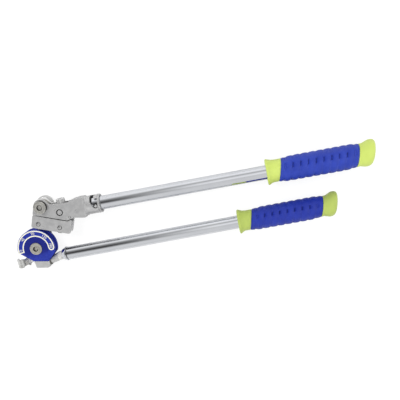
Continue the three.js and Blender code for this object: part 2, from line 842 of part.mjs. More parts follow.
function makeYoke() {
  const heel = alongRollers(-armTailLength, -armDepth);
  const floor = yokeFloorShares.map(inYoke);
  const top = yokeTopShares.map(inYoke);
  const outline = rounded([
    [heel, yokeCorner / 3],
    [armCorner, yokeCorner / 3],
    [armCorner.clone().add(polar(armSlantLength, armSlantTurn)), yokeCorner],
    [floor[0], yokeCorner],
    [floor[1], yokeCorner],
    [floor[2], 0],
    [top[0], 0],
    ...top.slice(1, -1).map((p) => [p, yokeCorner]),
    [top[top.length - 1], 0],
    ...arc(armEndRadius, 60 * DEG, Math.PI + rollersTurn, 10).map((p) => [p, 0]),
  ]);
  const body = solidOf(prism(outline, -yokeBack, yokeFront, blockBevel));

  // The body thickens in a wedge just before the socket: a plan of that wedge, cut to the outline
  const wedgePlan = [
    point(shoulderStart, -yokeFront + rimChamfer),
    point(yokeReach, -shoulderHalf),
    point(yokeReach, shoulderHalf),
    point(shoulderStart, yokeBack - rimChamfer),
  ];
  const wedge = solidOf(prism(wedgePlan, -yokeHeight, yokeHeight).rotateX(Math.PI / 2)).intersect(
    solidOf(prism(outline, -shoulderHalf - overrun, shoulderHalf + overrun)),
  );

  // Round socket for the handle, which starts inside the wedge
  const socket = revolved(
    [
      [0, shoulderStart],
      [yokeBack - rimChamfer, shoulderStart],
      [socketRadius, yokeReach],
      [socketRadius, socketMouth - mouthBeadWidth],
      [socketRadius + mouthBead, socketMouth - 0.75 * mouthBeadWidth],
      [socketRadius + mouthBead, socketMouth - 0.25 * mouthBeadWidth],
      [socketRadius, socketMouth],
      [0, socketMouth],
    ],
    medium,
    "x",
  );
  const bore = upperTubeRadius + fit;
  const socketBore = revolved(
    [
      [0, socketMouth - socketDepth],
      [bore, socketMouth - socketDepth],
      [bore, socketMouth - mouthBevel],
      [bore + mouthBevel, socketMouth],
      [bore + mouthBevel, socketMouth + overrun],
      [0, socketMouth + overrun],
    ],
    medium,
    "x",
  );

  // The window in the near wall, whose narrow end runs out over the top
  const windowOutline = windowShares.map(([along, up]) =>
    point(windowStart + along * windowLength, up * socketRadius),
  );
  const windowCut = prism(windowOutline, 0, socketRadius + overrun);

  // The slot between the arms leaves a bridge at the top for the stop screw
  const bridge = bridgeShares.map((share) => share * yokeReach);
  const slotEnd = slotEndShare * yokeReach;
  const farLeft = -armTailLength - armEndRadius;
  const slot = prism(
    [
      point(farLeft, -2 * yokeHeight),
      point(slotEnd, -2 * yokeHeight),
      point(slotEnd, yokeHeight),
      point(bridge[1], yokeHeight),
      point(bridge[1], -bridgeUnderside),
      point(bridge[0], -bridgeUnderside),
      point(bridge[0], yokeHeight),
      point(farLeft, yokeHeight),
    ],
    -slotHalf,
    slotHalf,
  );
  const through = (radius, sides) => pin(radius, -yokeBack - overrun, yokeFront + overrun, sides);
  return body
    .add(wedge)
    .add(solidOf(moved(socket, 0, -handleOffset)))
    .subtract(solidOf(moved(socketBore, 0, -handleOffset)))
    .subtract(solidOf(moved(windowCut, 0, -handleOffset)))
    .subtract(solidOf(slot))
    .subtract(solidOf(through(yokeScrewRadius + fit, medium)))
    .subtract(solidOf(moved(through(midPinRadius + fit, coarse), midPin.x, midPin.y)))
    .subtract(solidOf(moved(through(crossPinRadius + fit, coarse), crossPin.x, crossPin.y)))
    .subtract(
      solidOf(
        moved(
          pin(midPinHead + fit, yokeFront - midPinHeadHeight - fit, yokeFront + overrun, coarse),
          midPin.x,
          midPin.y,
        ),
      ),
    )
    .subtract(
      solidOf(
        moved(
          pin(stopScrewRadius + fit, -bridgeUnderside - overrun, yokeHeight, coarse, "y"),
          stopScrewX,
          0,
        ),
      ),
    )
    .subtract(
      solidOf(
        moved(pin(stopScrewHead + fit, -stopSeatDrop, yokeHeight, coarse, "y"), stopScrewX, 0),
      ),
    );
}
add(yokeFrame, "yoke", makeYoke(), looks.casting);

add(
  yokeFrame,
  "mid_pin",
  solidOf(
    moved(
      revolved(
        [
          [0, -yokeBack],
          [midPinRadius, -yokeBack],
          [midPinRadius, yokeFront - midPinHeadHeight],
          [midPinHead, yokeFront - midPinHeadHeight],
          [midPinHead, yokeFront],
          [0, yokeFront],
        ],
        coarse,
      ),
      midPin.x,
      midPin.y,
    ),
  ),
  looks.steel,
);

add(
  yokeFrame,
  "cross_pin",
  solidOf(moved(pin(crossPinRadius, -yokeBack, yokeFront), crossPin.x, crossPin.y)),
  looks.steel,
);

const stopHeadSeat = -stopSeatDrop + fit;
const stopTop = stopHeadSeat + stopScrewHeadHeight;
const stopScrew = solidOf(
  moved(
    revolved(
      [
        [0, -bridgeUnderside],
        [stopScrewRadius, -bridgeUnderside],
        [stopScrewRadius, stopHeadSeat],
        [stopScrewHead, stopHeadSeat],
        [stopScrewHead, stopTop - 2 * rimChamfer],
        [stopScrewHead - rimChamfer, stopTop],
        [0, stopTop],
      ],
      coarse,
      "y",
    ),
    stopScrewX,
    0,
  ),
).subtract(
  solidOf(
    moved(
      hexagon(stopScrewSocket, -stopTop - overrun, -stopTop + stopScrewHeadHeight / 2).rotateX(
        Math.PI / 2,
      ),
      stopScrewX,
      0,
    ),
  ),
);
add(yokeFrame, "stop_screw", stopScrew, looks.steel);

// The spring button stands on a radius of the upper tube and shows in the window
const buttonBase = tubeBore(upperTubeRadius) - fit - buttonFlangeThickness;
const buttonTop = upperTubeRadius + buttonProud;
const place = (geometry) =>
  geometry.rotateX(-buttonTurn).translate(windowStart + buttonAlong, -handleOffset, 0);
const button = revolved(
  [
    [0, buttonBase],
    [buttonRadius + buttonFlange, buttonBase],
    [buttonRadius + buttonFlange, buttonBase + buttonFlangeThickness / 2],
    [buttonRadius, buttonBase + buttonFlangeThickness / 2],
    [buttonRadius, buttonTop - rimChamfer],
    [buttonRadius - rimChamfer, buttonTop],
    [0, buttonTop],
  ],
  coarse,
);
add(yokeFrame, "socket_button", solidOf(place(button)), looks.steel);
add(
  yokeFrame,
  "upper_handle_tube",
  solidOf(
    moved(
      ring(
        upperTubeRadius,
        tubeBore(upperTubeRadius),
        socketMouth - tubeInset,
        upperTubeEnd,
        medium,
        "x",
      ),
      0,
      -handleOffset,
    ),
  ).subtract(solidOf(place(pin(buttonRadius + fit, 0, buttonTop, coarse)))),
  looks.chrome,
);
add(
  yokeFrame,
  "upper_grip_core",
  solidOf(
    moved(
      gripCore(
        upperGripStart,
        upperGripLength,
        upperFlareRadius,
        upperSleeveStart,
        upperSleeveLength,
        upperCrestRadius,
        upperTubeRadius,
        upperTubeEnd,
      ),
      0,
      -handleOffset,
    ),
  ),
  looks.core,
);
add(
  yokeFrame,
  "upper_grip_sleeve",
  solidOf(
    moved(
      gripSleeve(upperGripStart + upperSleeveStart, upperSleeveLength, upperCrestRadius),
      0,
      -handleOffset,
    ),
  ),
  looks.sleeve,
);

// ---- roller bracket and rollers, in the head's frame ----

function makeBracket() {
  const left = -bracketLeft;
  const right = rollerPitch + bracketRight;
  const bottom = rollerLine - bracketBelow;

  // The upper right end is an ear that follows the slant of the yoke's underside
  const earFacing = armSlantTurn - rollersTurn + 90 * DEG;
  const slantFoot = point(yokePivotX + armFloorLength, yokePivotY - armDepth);
  const earDistance = slantFoot.dot(polar(1, earFacing)) - rockGap;
  const outline = rounded([
    [point(left, bottom), bracketCorner],
    [point(right, bottom), bracketCorner],
    [edgesMeet(0, right, earFacing, earDistance), bracketCorner / 2],
    [edgesMeet(90 * DEG, bracketTop, earFacing, earDistance), bracketCorner / 4],
    [point(left, bracketTop), bracketCorner / 4],
  ]);
  const inside = bracketHalf - bracketWall;
  const webFoot = bracketTop - webThickness;
  const pocket = [
    point(left - overrun, bottom - overrun),
    point(right + overrun, bottom - overrun),
    point(right + overrun, webFoot),
    point(left - overrun, webFoot),
  ];
  const earGap = [
    point(slantFoot.x, bracketTop),
    point(right + overrun, bracketTop),
    point(right + overrun, yokePivotY),
    point(slantFoot.x, yokePivotY),
  ];
  const eyeX = yokePivotX + midPinAlong;
  const eyeY = yokePivotY - midPinBelow;
  const tongueOutline = [
    point(eyeX - tongueEye, bracketTop - webThickness / 2),
    point(eyeX + tongueEye, bracketTop - webThickness / 2),
    ...arc(tongueEye, 0, Math.PI, 12, eyeX, eyeY),
  ];
  let bracket = solidOf(prism(outline, -bracketHalf, bracketHalf))
    .subtract(solidOf(prism(pocket, -inside, inside)))
    .subtract(solidOf(prism(earGap, -inside, inside)))
    .add(solidOf(prism(tongueOutline, -tongueHalf, tongueHalf)))
    .subtract(
      solidOf(moved(pin(midPinRadius + fit, -tongueHalf - overrun, tongueHalf + overrun), eyeX, eyeY)),
    );
  for (const along of [0, rollerPitch]) {
    const hole = pin(axleRadius + fit, -bracketHalf - overrun, bracketHalf + overrun);
    const sink = pin(axleHead + fit, bracketHalf - axleHeadHeight, bracketHalf + overrun);
    bracket = bracket
      .subtract(solidOf(moved(hole, along, rollerLine)))
      .subtract(solidOf(moved(sink, along, rollerLine)));
  }
  return bracket;
}
add(head, "roller_bracket", makeBracket(), looks.casting);

["near", "far"].forEach((which, i) => {
  const along = i * rollerPitch;
  const headTop = bracketHalf + fit;
  const axle = revolved(
    [
      [0, -bracketHalf],
      [axleRadius, -bracketHalf],
      [axleRadius, bracketHalf - axleHeadHeight + fit],
      [axleHead, bracketHalf - axleHeadHeight + fit],
      [axleHead, bracketHalf],
      [axleHead - fit, headTop],
      [0, headTop],
    ],
    coarse,
  );
  add(head, "axle_" + which, solidOf(moved(axle, along, rollerLine)), looks.steel);
  const roller = revolved(
    [
      [axleRadius + fit, -rollerHalf],
      [rollerRadius - rollerChamfer, -rollerHalf],
      ...grooveProfile(rollerRadius, rollerLine - bendRadius, grooveSteps),
      [rollerRadius - rollerChamfer, rollerHalf],
      [axleRadius + fit, rollerHalf],
      [axleRadius + fit, -rollerHalf],
    ],
    medium,
  );
  add(head, "roller_" + which, solidOf(moved(roller, along, rollerLine)), looks.steel);
});

export default part;
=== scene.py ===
"""A two-roller hand tube bender lying on its back on a white bench.

It has a blue grooved former with a degree scale, a chrome lever with a moulded grip, a rear
link, a cast yoke with the second lever in its socket, and a bracket with two grooved rollers.
Lengths are in millimetres, in the frame of the piece that carries them, until a piece is placed.
"""
import math

import bpy
from mathutils import Matrix, Vector


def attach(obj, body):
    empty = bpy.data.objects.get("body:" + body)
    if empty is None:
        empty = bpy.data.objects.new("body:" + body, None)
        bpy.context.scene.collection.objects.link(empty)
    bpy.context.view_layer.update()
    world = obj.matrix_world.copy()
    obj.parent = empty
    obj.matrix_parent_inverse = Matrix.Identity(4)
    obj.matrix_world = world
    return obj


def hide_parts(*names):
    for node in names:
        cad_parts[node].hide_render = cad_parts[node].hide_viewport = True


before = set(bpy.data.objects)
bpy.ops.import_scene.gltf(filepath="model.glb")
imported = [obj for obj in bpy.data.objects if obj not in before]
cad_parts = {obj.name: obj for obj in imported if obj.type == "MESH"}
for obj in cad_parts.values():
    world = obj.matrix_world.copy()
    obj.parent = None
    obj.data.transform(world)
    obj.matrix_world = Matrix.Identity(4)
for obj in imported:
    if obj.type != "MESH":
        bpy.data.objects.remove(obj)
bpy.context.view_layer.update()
scene = bpy.context.scene

# Bench and studio: the tool lies on a white sheet that runs on past the picture, under a wide
# white tent with a darker gap behind the camera, which draws the dark line along the chrome.
# Lengths here are in metres, and levels go round the tool's length from straight up, in degrees.
bench_half = 6.0
white, dim = (1, 1, 1, 1), (0.22, 0.22, 0.22, 1)
sheet_white = (0.74, 0.74, 0.74, 1)
sheet_glow = 0.84
tent_light = 0.56
left_panel = (0.9, 0.9, 0.9, 1)
head_levels = [
    (-120, 0.6), (-82, 0.72), (-61, 0.76), (-40, 0.8), (-21, 0.72), (-5, 0.27), (5, 0.08), (15, 0.045),
    (26, 0.14), (38, 0.26), (50, 0.52), (64, 0.88), (88, 0.96), (120, 0.8),
]
grip_levels = [
    (-120, 0.6), (-82, 0.74), (-61, 0.76), (-40, 0.76), (-21, 0.74), (-5, 0.7), (6, 0.92), (15, 1.0),
    (27, 0.86), (36, 0.66), (46, 0.48), (60, 0.9), (74, 1.06), (100, 1.0),
]
grips_from, panel_from, dim_from = (-0.28, -0.06), (-0.78, -0.95), (0.3, 0.7)  # along the tool
lamps = (
    ("key", (-0.35, 0.62, 0.95), 0.5, 7.2),
    ("fill", (0.75, 0.2, 1.1), 0.9, 2.4),
    ("low_side", (-0.45, -0.7, 0.45), 0.6, 3.0),
    ("end_side", (1.0, -0.1, 0.4), 0.5, 2.0),
)
lamp_aim = Vector((0.2, 0.02, 0.02))
camera_at = (0.281154, 0.160848, 0.675925)
camera_right = (0.97732508, -0.20344748, -0.05869243)
camera_up = (0.18584401, 0.95700859, -0.22270281)
camera_back = (0.10147748, 0.20674541, 0.973118)
lens, film_width = 50.548, 36  # in millimetres


def emptied(owner):
    """The node tree of a material or world, with nothing in it yet."""
    owner.use_nodes = True
    owner.node_tree.nodes.clear()
    return owner.node_tree


def add(tree, kind, *feeds, **settings):
    """A node: feeds go to its inputs in order, settings to its options or the inputs so named."""
    node = tree.nodes.new("ShaderNode" + kind)
    inputs = dict(enumerate(feeds))
    for name, value in settings.items():
        if name[0].islower():
            setattr(node, name, value)
        else:
            inputs[name.replace("_", " ")] = value
    for name, value in inputs.items():
        if isinstance(value, bpy.types.NodeSocket):
            tree.links.new(value, node.inputs[name])
        else:
            node.inputs[name].default_value = value
    return node


def blend(tree, factor, one, other):
    """One colour that goes over into another by a factor."""
    return add(tree, "Mix", data_type="RGBA", Factor=factor, A=one, B=other).outputs["Result"]


def fading(tree, value, first, last, most=1.0):
    """A share that grows smoothly from nothing to its most, as a value goes from first to last."""
    return add(tree, "MapRange", interpolation_type="SMOOTHSTEP", Value=value, From_Min=first,
               From_Max=last, To_Max=most).outputs[0]


bpy.ops.object.select_all(action="DESELECT")
bpy.ops.mesh.primitive_plane_add(size=2 * bench_half, location=(0, 0, 0))
bench = bpy.context.active_object
bench.name = "bench"
white_sheet = bpy.data.materials.new("white_sheet")
sheet = emptied(white_sheet)
lit = add(sheet, "BsdfDiffuse", Color=sheet_white)
faint = add(sheet, "BsdfDiffuse", Color=dim)
glow = add(sheet, "Emission", Color=white, Strength=sheet_glow)
in_view = add(sheet, "AddShader", faint.outputs[0], glow.outputs[0])
path = add(sheet, "LightPath")
choose = add(sheet, "MixShader", path.outputs["Is Camera Ray"], lit.outputs[0], in_view.outputs[0])
add(sheet, "OutputMaterial", Surface=choose.outputs[0])
bench.data.materials.append(white_sheet)

scene.world = bpy.data.worlds.new("tent")
tent = emptied(scene.world)
toward = add(tent, "SeparateXYZ", add(tent, "TexCoord").outputs["Generated"]).outputs
lean = add(tent, "Math", toward["Y"], toward["Z"], operation="ARCTAN2")
round_tool = add(tent, "MapRange", Value=lean.outputs[0], From_Min=-math.pi, From_Max=math.pi)


def ramp(levels):
    """The tent's grey levels round the tool's length."""
    node = add(tent, "ValToRGB", round_tool.outputs[0])
    bar = node.color_ramp
    bar.interpolation = "EASE"
    while len(bar.elements) < len(levels):
        bar.elements.new(0.5)
    for element, (degrees, level) in zip(bar.elements, levels):
        element.position = (degrees + 180) / 360
        element.color = (level, level, level, 1)
    return node.outputs[0]


panels = blend(tent, fading(tent, toward["X"], *grips_from), ramp(head_levels), ramp(grip_levels))
panels = blend(tent, fading(tent, toward["X"], *panel_from), panels, left_panel)
panels = blend(tent, fading(tent, toward["X"], *dim_from), panels, dim)
reflected = add(tent, "Background", Color=panels)
soft = add(tent, "Background", Color=white, Strength=tent_light)
paper = add(tent, "Background", Color=white)
path = add(tent, "LightPath")
choose = add(tent, "MixShader", path.outputs["Is Glossy Ray"], soft.outputs[0], reflected.outputs[0])
behind = add(tent, "MixShader", path.outputs["Is Camera Ray"], choose.outputs[0], paper.outputs[0])
add(tent, "OutputWorld", Surface=behind.outputs[0])

for name, at, size, watts in lamps:
    bpy.ops.object.light_add(type="AREA", location=at)
    lamp = bpy.context.active_object
    lamp.name = name
    lamp.data.size = size
    lamp.data.energy = watts
    lamp.visible_glossy = False  # the tent alone draws the reflections
    lamp.rotation_euler = (lamp_aim - Vector(at)).to_track_quat("-Z", "Y").to_euler()

bpy.ops.object.camera_add()
camera = bpy.context.active_object
camera.data.sensor_width = film_width
camera.data.lens = lens
camera.data.clip_start = 0.01
faces = Matrix((camera_right, camera_up, camera_back)).transposed().to_4x4()
camera.matrix_world = Matrix.Translation(camera_at) @ faces
scene.camera = camera
scene.view_settings.view_transform = "Standard"

# Former: the grooved disc that the tube is bent round, turned from aluminium bar, its three lower
# flats milled, then anodised blue. Two screws come up into it from the block below.
mm = 0.001
lever_height = 15.5  # both levers' axes over the bench
on_tool = Matrix.Translation((0, 0, lever_height * mm)) @ Matrix.Scale(mm, 4)
sharp = 35  # degrees; an edge sharper than this is broken
beyond = 12  # how far a cutter reaches past the former
former_half = 6.75  # half its width
former_radius = 24.0
groove_radius = 4.1
former_chamfer = 0.6
former_bore = 4.3
recess_radius, recess_floor = 7.9, 5.45
former_flats = ((-130, 16.2), (-100, 16.2), (-48, 21.5))  # degrees it faces, distance from the axis
block_turn = -10
block_screws = (1.55, 9.67)  # places along the block
thread_radius = 1.8
thread_ends = (-29, -11.5)
blue_edge = 0.22
# Painted shade on the former's face: the colour it darkens to, how much, and where it comes in
painted_shade_blue, painted_shade_share = (20, 28, 122), 0.75
painted_shade_radii, painted_shade_rise = (17.5, 14.0), (-12, -2)  # from the axis and up the face, where it comes in


def only(piece):
    """Selects one piece alone and makes it active."""
    bpy.ops.object.select_all(action="DESELECT")
    piece.select_set(True)
    bpy.context.view_layer.objects.active = piece


def start(name, corner):
    """One point to draw from: a small square, merged to its middle and moved to the corner."""
    bpy.ops.object.select_all(action="DESELECT")
    bpy.ops.mesh.primitive_plane_add(size=1, location=(0, 0, 0))
    piece = bpy.context.active_object
    piece.name = piece.data.name = name
    bpy.ops.object.mode_set(mode="EDIT")
    bpy.ops.mesh.select_all(action="SELECT")
    bpy.ops.mesh.merge(type="CENTER")
    bpy.ops.transform.translate(value=corner)
    return piece


def draw(corners):
    """Draws on from the first corner through all the others, and joins points that meet."""
    here = Vector(corners[0])
    for corner in corners[1:]:
        step = Vector(corner) - here
        bpy.ops.mesh.extrude_region_move(TRANSFORM_OT_translate={"value": step})
        here = Vector(corner)
    bpy.ops.mesh.select_all(action="SELECT")


def close_up():
    """Points the faces of what was drawn outwards and leaves edit mode."""
    bpy.ops.mesh.select_all(action="SELECT")
    bpy.ops.mesh.normals_make_consistent(inside=False)
    bpy.ops.object.mode_set(mode="OBJECT")


def move(piece, at=(0, 0, 0), turn=(0, 0, 0)):
    """Turns a piece by degrees about each axis and moves it, both in its mesh."""
    only(piece)
    piece.rotation_euler = [math.radians(degrees) for degrees in turn]
    piece.location = at
    bpy.ops.object.transform_apply()
    return piece


def turned(name, profile, axis="Z", at=(0, 0, 0), sides=96):
    """A piece turned on a lathe from a profile of (radius, height), then laid along its axis."""
    piece = start(name, (profile[0][0], 0, profile[0][1]))
    draw([(radius, 0, height) for radius, height in profile])
    bpy.ops.mesh.spin(steps=sides, angle=2 * math.pi, center=(0, 0, 0), axis=(0, 0, 1))
    bpy.ops.mesh.select_all(action="SELECT")
    bpy.ops.mesh.remove_doubles(threshold=0.001)
    bpy.ops.mesh.dissolve_degenerate(threshold=0.0005)
    close_up()
    return move(piece, at, {"Z": (0, 0, 0), "X": (0, 90, 0), "Y": (-90, 0, 0)}[axis])


def rod(radius, low, high, at=(0, 0, 0), axis="Z", sides=64, mouth=None):
    """A plain round rod or drill from low to high on its axis, or a cone with another mouth."""
    return turned("rod", [(0, low), (radius, low), (mouth or radius, high), (0, high)], axis, at, sides)


def plate(name, outline, low, high):
    """A piece sawn from plate: an outline drawn, filled and raised from one height to another."""
    piece = start(name, (*outline[0], low))
    draw([(x, y, low) for x, y in [*outline, outline[0]]])
    bpy.ops.mesh.remove_doubles(threshold=0.001)
    bpy.ops.mesh.edge_face_add()
    bpy.ops.mesh.extrude_region_move(TRANSFORM_OT_translate={"value": (0, 0, high - low)})
    close_up()
    return piece


def oblong(left, right, low, high):
    """The four corners of an oblong."""
    return [(left, low), (right, low), (right, high), (left, high)]


def bow(radius, first, last, steps, x=0, y=0):
    """Points along an arc, from one direction in degrees to another."""
    turns = [math.radians(first + (last - first) * i / steps) for i in range(steps + 1)]
    return [(x + radius * math.cos(t), y + radius * math.sin(t)) for t in turns]


def rotated(points, degrees):
    """The same points turned about the origin."""
    c, s = math.cos(math.radians(degrees)), math.sin(math.radians(degrees))
    return [(c * x - s * y, s * x + c * y) for x, y in points]


def shaped(piece, kind, **settings):
    """Gives a piece one modifier and applies it."""
    only(piece)
    step = piece.modifiers.new(kind.lower(), kind)
    for name, value in settings.items():
        setattr(step, name, value)
    bpy.ops.object.modifier_apply(modifier=step.name)


def cut(piece, *tools, how="DIFFERENCE"):
    """Cuts the tools out of a piece one by one, or joins them to it."""
    for tool in tools:
        shaped(piece, "BOOLEAN", operation=how, solver="EXACT", object=tool)
        bpy.data.objects.remove(tool)
    return piece


def smooth(piece, over):
    """Shades a piece smooth, but for edges sharper than that many degrees."""
    only(piece)
    bpy.ops.object.shade_smooth_by_angle(angle=math.radians(over))
    return piece


def soften(piece, width, rounds=2):
    """Breaks the sharp edges of a machined piece and keeps its faces flat to the eye."""
    shaped(piece, "BEVEL", width=width, segments=rounds, limit_method="ANGLE",
           angle_limit=math.radians(sharp))
    smooth(piece, sharp)
    shaped(piece, "WEIGHTED_NORMAL", keep_sharp=True)
    return piece


def colour(red, green, blue):
    """A colour written in the 0 to 255 steps of a paint chart, as the shader needs it."""
    steps = [part / 255 for part in (red, green, blue)]
    return tuple(s / 12.92 if s <= 0.04045 else ((s + 0.055) / 1.055) ** 2.4 for s in steps) + (1,)


def effect(name, takes, gives):
    """An empty shader group with named sockets: its tree, what it is given and what it makes."""
    tree = bpy.data.node_groups.new(name, "ShaderNodeTree")
    for way, sockets in (("INPUT", takes), ("OUTPUT", gives)):
        for label, kind in sockets.items():
            tree.interface.new_socket(name=label, in_out=way, socket_type="NodeSocket" + kind)
    return tree, tree.nodes.new("NodeGroupInput").outputs, tree.nodes.new("NodeGroupOutput").inputs


def multiply(tree, one, other):
    """Two values multiplied."""
    return add(tree, "Math", one, other, operation="MULTIPLY").outputs[0]


# Clouding: a slow change from one colour to another over the surface
clouding, given, made = effect(
    "clouding",
    {"Vector": "Vector", "Scale": "Float", "Colour": "Color", "Other Colour": "Color", "Amount": "Float"},
    {"Colour": "Color"},
)
noise = add(clouding, "TexNoise", Vector=given["Vector"], Scale=given["Scale"], Detail=3)
spread = add(clouding, "MapRange", Value=noise.outputs["Fac"], From_Min=0.36, From_Max=0.66)
amount = multiply(clouding, spread.outputs[0], given["Amount"])
clouding.links.new(blend(clouding, amount, given["Colour"], given["Other Colour"]), made["Colour"])

# Edge wear: the outer edges rub bright
edge_wear, given, made = effect(
    "edge wear",
    {"Vector": "Vector", "Colour": "Color", "Worn Colour": "Color", "Amount": "Float"},
    {"Colour": "Color"},
)
shape = add(edge_wear, "NewGeometry")
edge = add(edge_wear, "MapRange", Value=shape.outputs["Pointiness"], From_Min=0.52, From_Max=0.62)
noise = add(edge_wear, "TexNoise", Vector=given["Vector"], Scale=420)
patchy = multiply(edge_wear, edge.outputs[0], noise.outputs["Fac"])
amount = multiply(edge_wear, patchy, given["Amount"])
edge_wear.links.new(blend(edge_wear, amount, given["Colour"], given["Worn Colour"]), made["Colour"])

# Groove shade: painted shade that darkens the hollows of a surface
groove_shade, given, made = effect(
    "groove shade",
    {"Colour": "Color", "Deep Colour": "Color", "Amount": "Float"},
    {"Colour": "Color"},
)
shape = add(groove_shade, "NewGeometry")
hollow = add(groove_shade, "MapRange", Value=shape.outputs["Pointiness"], From_Min=0.49, From_Max=0.43)
amount = multiply(groove_shade, hollow.outputs[0], given["Amount"])
groove_shade.links.new(blend(groove_shade, amount, given["Colour"], given["Deep Colour"]), made["Colour"])

# Handling: patches that are a little more or less polished
handling, given, made = effect(
    "handling",
    {"Vector": "Vector", "Scale": "Float", "Least": "Float", "Most": "Float"},
    {"Roughness": "Float"},
)
noise = add(handling, "TexNoise", Vector=given["Vector"], Scale=given["Scale"], Detail=4)
spread = add(handling, "MapRange", Value=noise.outputs["Fac"], From_Min=0.3, From_Max=0.7,
             To_Min=given["Least"], To_Max=given["Most"])
handling.links.new(spread.outputs[0], made["Roughness"])

# Grain: the fine roughness of a cast, blasted or moulded face, as a height from 0 to 1
grain, given, made = effect("grain", {"Vector": "Vector", "Scale": "Float"}, {"Height": "Float"})
noise = add(grain, "TexNoise", Vector=given["Vector"], Scale=given["Scale"], Detail=5, Roughness=0.65)
grain.links.new(noise.outputs["Fac"], made["Height"])

# Turning marks: fine rings about the lathe's axis, as a height from -1 to 1
turning, given, made = effect(
    "turning marks", {"Vector": "Vector", "Rings": "Float"}, {"Height": "Float", "Radius": "Float"}
)
flat = add(turning, "VectorMath", given["Vector"], (1, 1, 0), operation="MULTIPLY")
radius = add(turning, "VectorMath", flat.outputs[0], operation="LENGTH").outputs["Value"]
crest = add(turning, "Math", multiply(turning, radius, given["Rings"]), operation="SINE")
turning.links.new(crest.outputs[0], made["Height"])
turning.links.new(radius, made["Radius"])


def finish(name, paint, other, rough, cloud, grained, metal=0.0, worn=None, deep=None, rings=None):
    """A finish: two paints that cloud into each other, and its least and most roughness.

    cloud is the size of the clouds in mm and how strong they are, and grained the size and depth
    of the grain in mm. worn is the colour and amount of edge wear, and deep those of the shade in
    grooves. rings is the lathe's axis in mm, with the pitch and depth of its marks.
    """
    material = bpy.data.materials.new(name)
    material.use_nodes = True
    tree = material.node_tree
    shader = tree.nodes["Principled BSDF"]
    shader.inputs["Metallic"].default_value = metal
    place = add(tree, "TexCoord").outputs["Object"]
    tint = add(tree, "Group", node_tree=clouding, Vector=place, Scale=1 / (cloud[0] * mm), Amount=cloud[1],
               Colour=colour(*paint), Other_Colour=colour(*other)).outputs["Colour"]
    if worn:
        tint = add(tree, "Group", node_tree=edge_wear, Vector=place, Colour=tint,
                   Worn_Colour=colour(*worn[0]), Amount=worn[1]).outputs["Colour"]
    if deep:
        tint = add(tree, "Group", node_tree=groove_shade, Colour=tint,
                   Deep_Colour=colour(*deep[0]), Amount=deep[1]).outputs["Colour"]
    tree.links.new(tint, shader.inputs["Base Color"])
    polish = add(tree, "Group", node_tree=handling, Vector=place, Scale=1 / (cloud[0] * 1.4 * mm),
                 Least=rough[0], Most=rough[1])
    tree.links.new(polish.outputs["Roughness"], shader.inputs["Roughness"])
    skin = add(tree, "Group", node_tree=grain, Vector=place, Scale=1 / (grained[0] * mm))
    bump = add(tree, "Bump", Distance=grained[1] * mm, Height=skin.outputs["Height"])
    if rings:
        (x, y), pitch, depth = rings
        centred = add(tree, "Mapping", place, Location=(-x * mm, -y * mm, 0))
        marks = add(tree, "Group", node_tree=turning, Vector=centred.outputs[0],
                    Rings=2 * math.pi / (pitch * mm))
        bump = add(tree, "Bump", Distance=depth * mm, Height=marks.outputs["Height"],
                   Normal=bump.outputs["Normal"])
    tree.links.new(bump.outputs["Normal"], shader.inputs["Normal"])
    return material


def fit(piece, place, body, node, surface=None):
    """Sets a made piece in its place on the tool, gives it its finish and hands it to the frame."""
    only(piece)
    piece.matrix_world = place
    bpy.ops.object.transform_apply()
    if surface:
        piece.data.materials.append(surface)
    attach(piece, body)
    if node:
        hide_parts(node)


def flat_tools(extra):
    """Three blocks whose inner faces are the former's flats, moved out by a clearance."""
    far, side = former_radius + beyond, 30
    return [
        plate("mill", rotated(oblong(away + extra, far, -side, side), facing), -beyond, beyond)
        for facing, away in former_flats
    ]


groove = [(former_radius - x, y) for y, x in bow(groove_radius, 180, 0, 20)]
rim = former_radius - former_chamfer
former = turned(
    "grooved_former",
    [(former_bore, -former_half), (rim, -former_half), (former_radius, -former_half + former_chamfer),
     *groove, (former_radius, former_half - former_chamfer), (rim, former_half),
     (recess_radius, former_half), (recess_radius, recess_floor), (former_bore, recess_floor),
     (former_bore, -former_half)],
    sides=144,
)
cut(former, *flat_tools(0))
for along in block_screws:
    cut(former, move(rod(thread_radius, *thread_ends, (along, 0, 0), "Y", 32), turn=(0, 0, block_turn)))
soften(former, blue_edge)
blue = finish("blue_anodise", (30, 46, 164), (20, 30, 130), (0.28, 0.42), metal=0.5, cloud=(9, 0.6),
              grained=(0.35, 0.004), worn=((70, 90, 205), 0.6), rings=((0, 0), 0.42, 0.0012))
blue_nodes = blue.node_tree
place = blue_nodes.nodes["Texture Coordinate"].outputs["Object"]
base = blue_nodes.nodes["Principled BSDF"].inputs["Base Color"]
from_axis = add(blue_nodes, "Group", node_tree=turning, Vector=place).outputs["Radius"]
up_face = add(blue_nodes, "SeparateXYZ", place).outputs["Y"]
inner = multiply(blue_nodes, fading(blue_nodes, from_axis, *[r * mm for r in painted_shade_radii], painted_shade_share),
                 fading(blue_nodes, up_face, *[y * mm for y in painted_shade_rise]))
# Painted shade: the face is darkened towards the hub and towards its top
blue_nodes.links.new(blend(blue_nodes, inner, base.links[0].from_socket, colour(*painted_shade_blue)), base)
fit(former, on_tool, "base", "former_wheel", blue)

# Degree scale: a closed band and five plain numbers, engraved in the former's near face and filled
# with cream enamel. It stands a hair proud of the face, as filled engraving does.
enamel_height = 0.06
enamel_depth = 0.2
band_radii = (15.6, 23.3)  # inner and outer edge of the band
band_line = 1.45  # width of its line
band_ends = (-4.5, 188)  # degrees: its round end and its square end
figure_radius = 19.4
figure_height = 4.6
figure_half = 0.13  # half its thickness
figure_sink = 0.07
figures = (("0", 177), ("45", 133), ("90", 88), ("135", 43), ("180", 2.5))


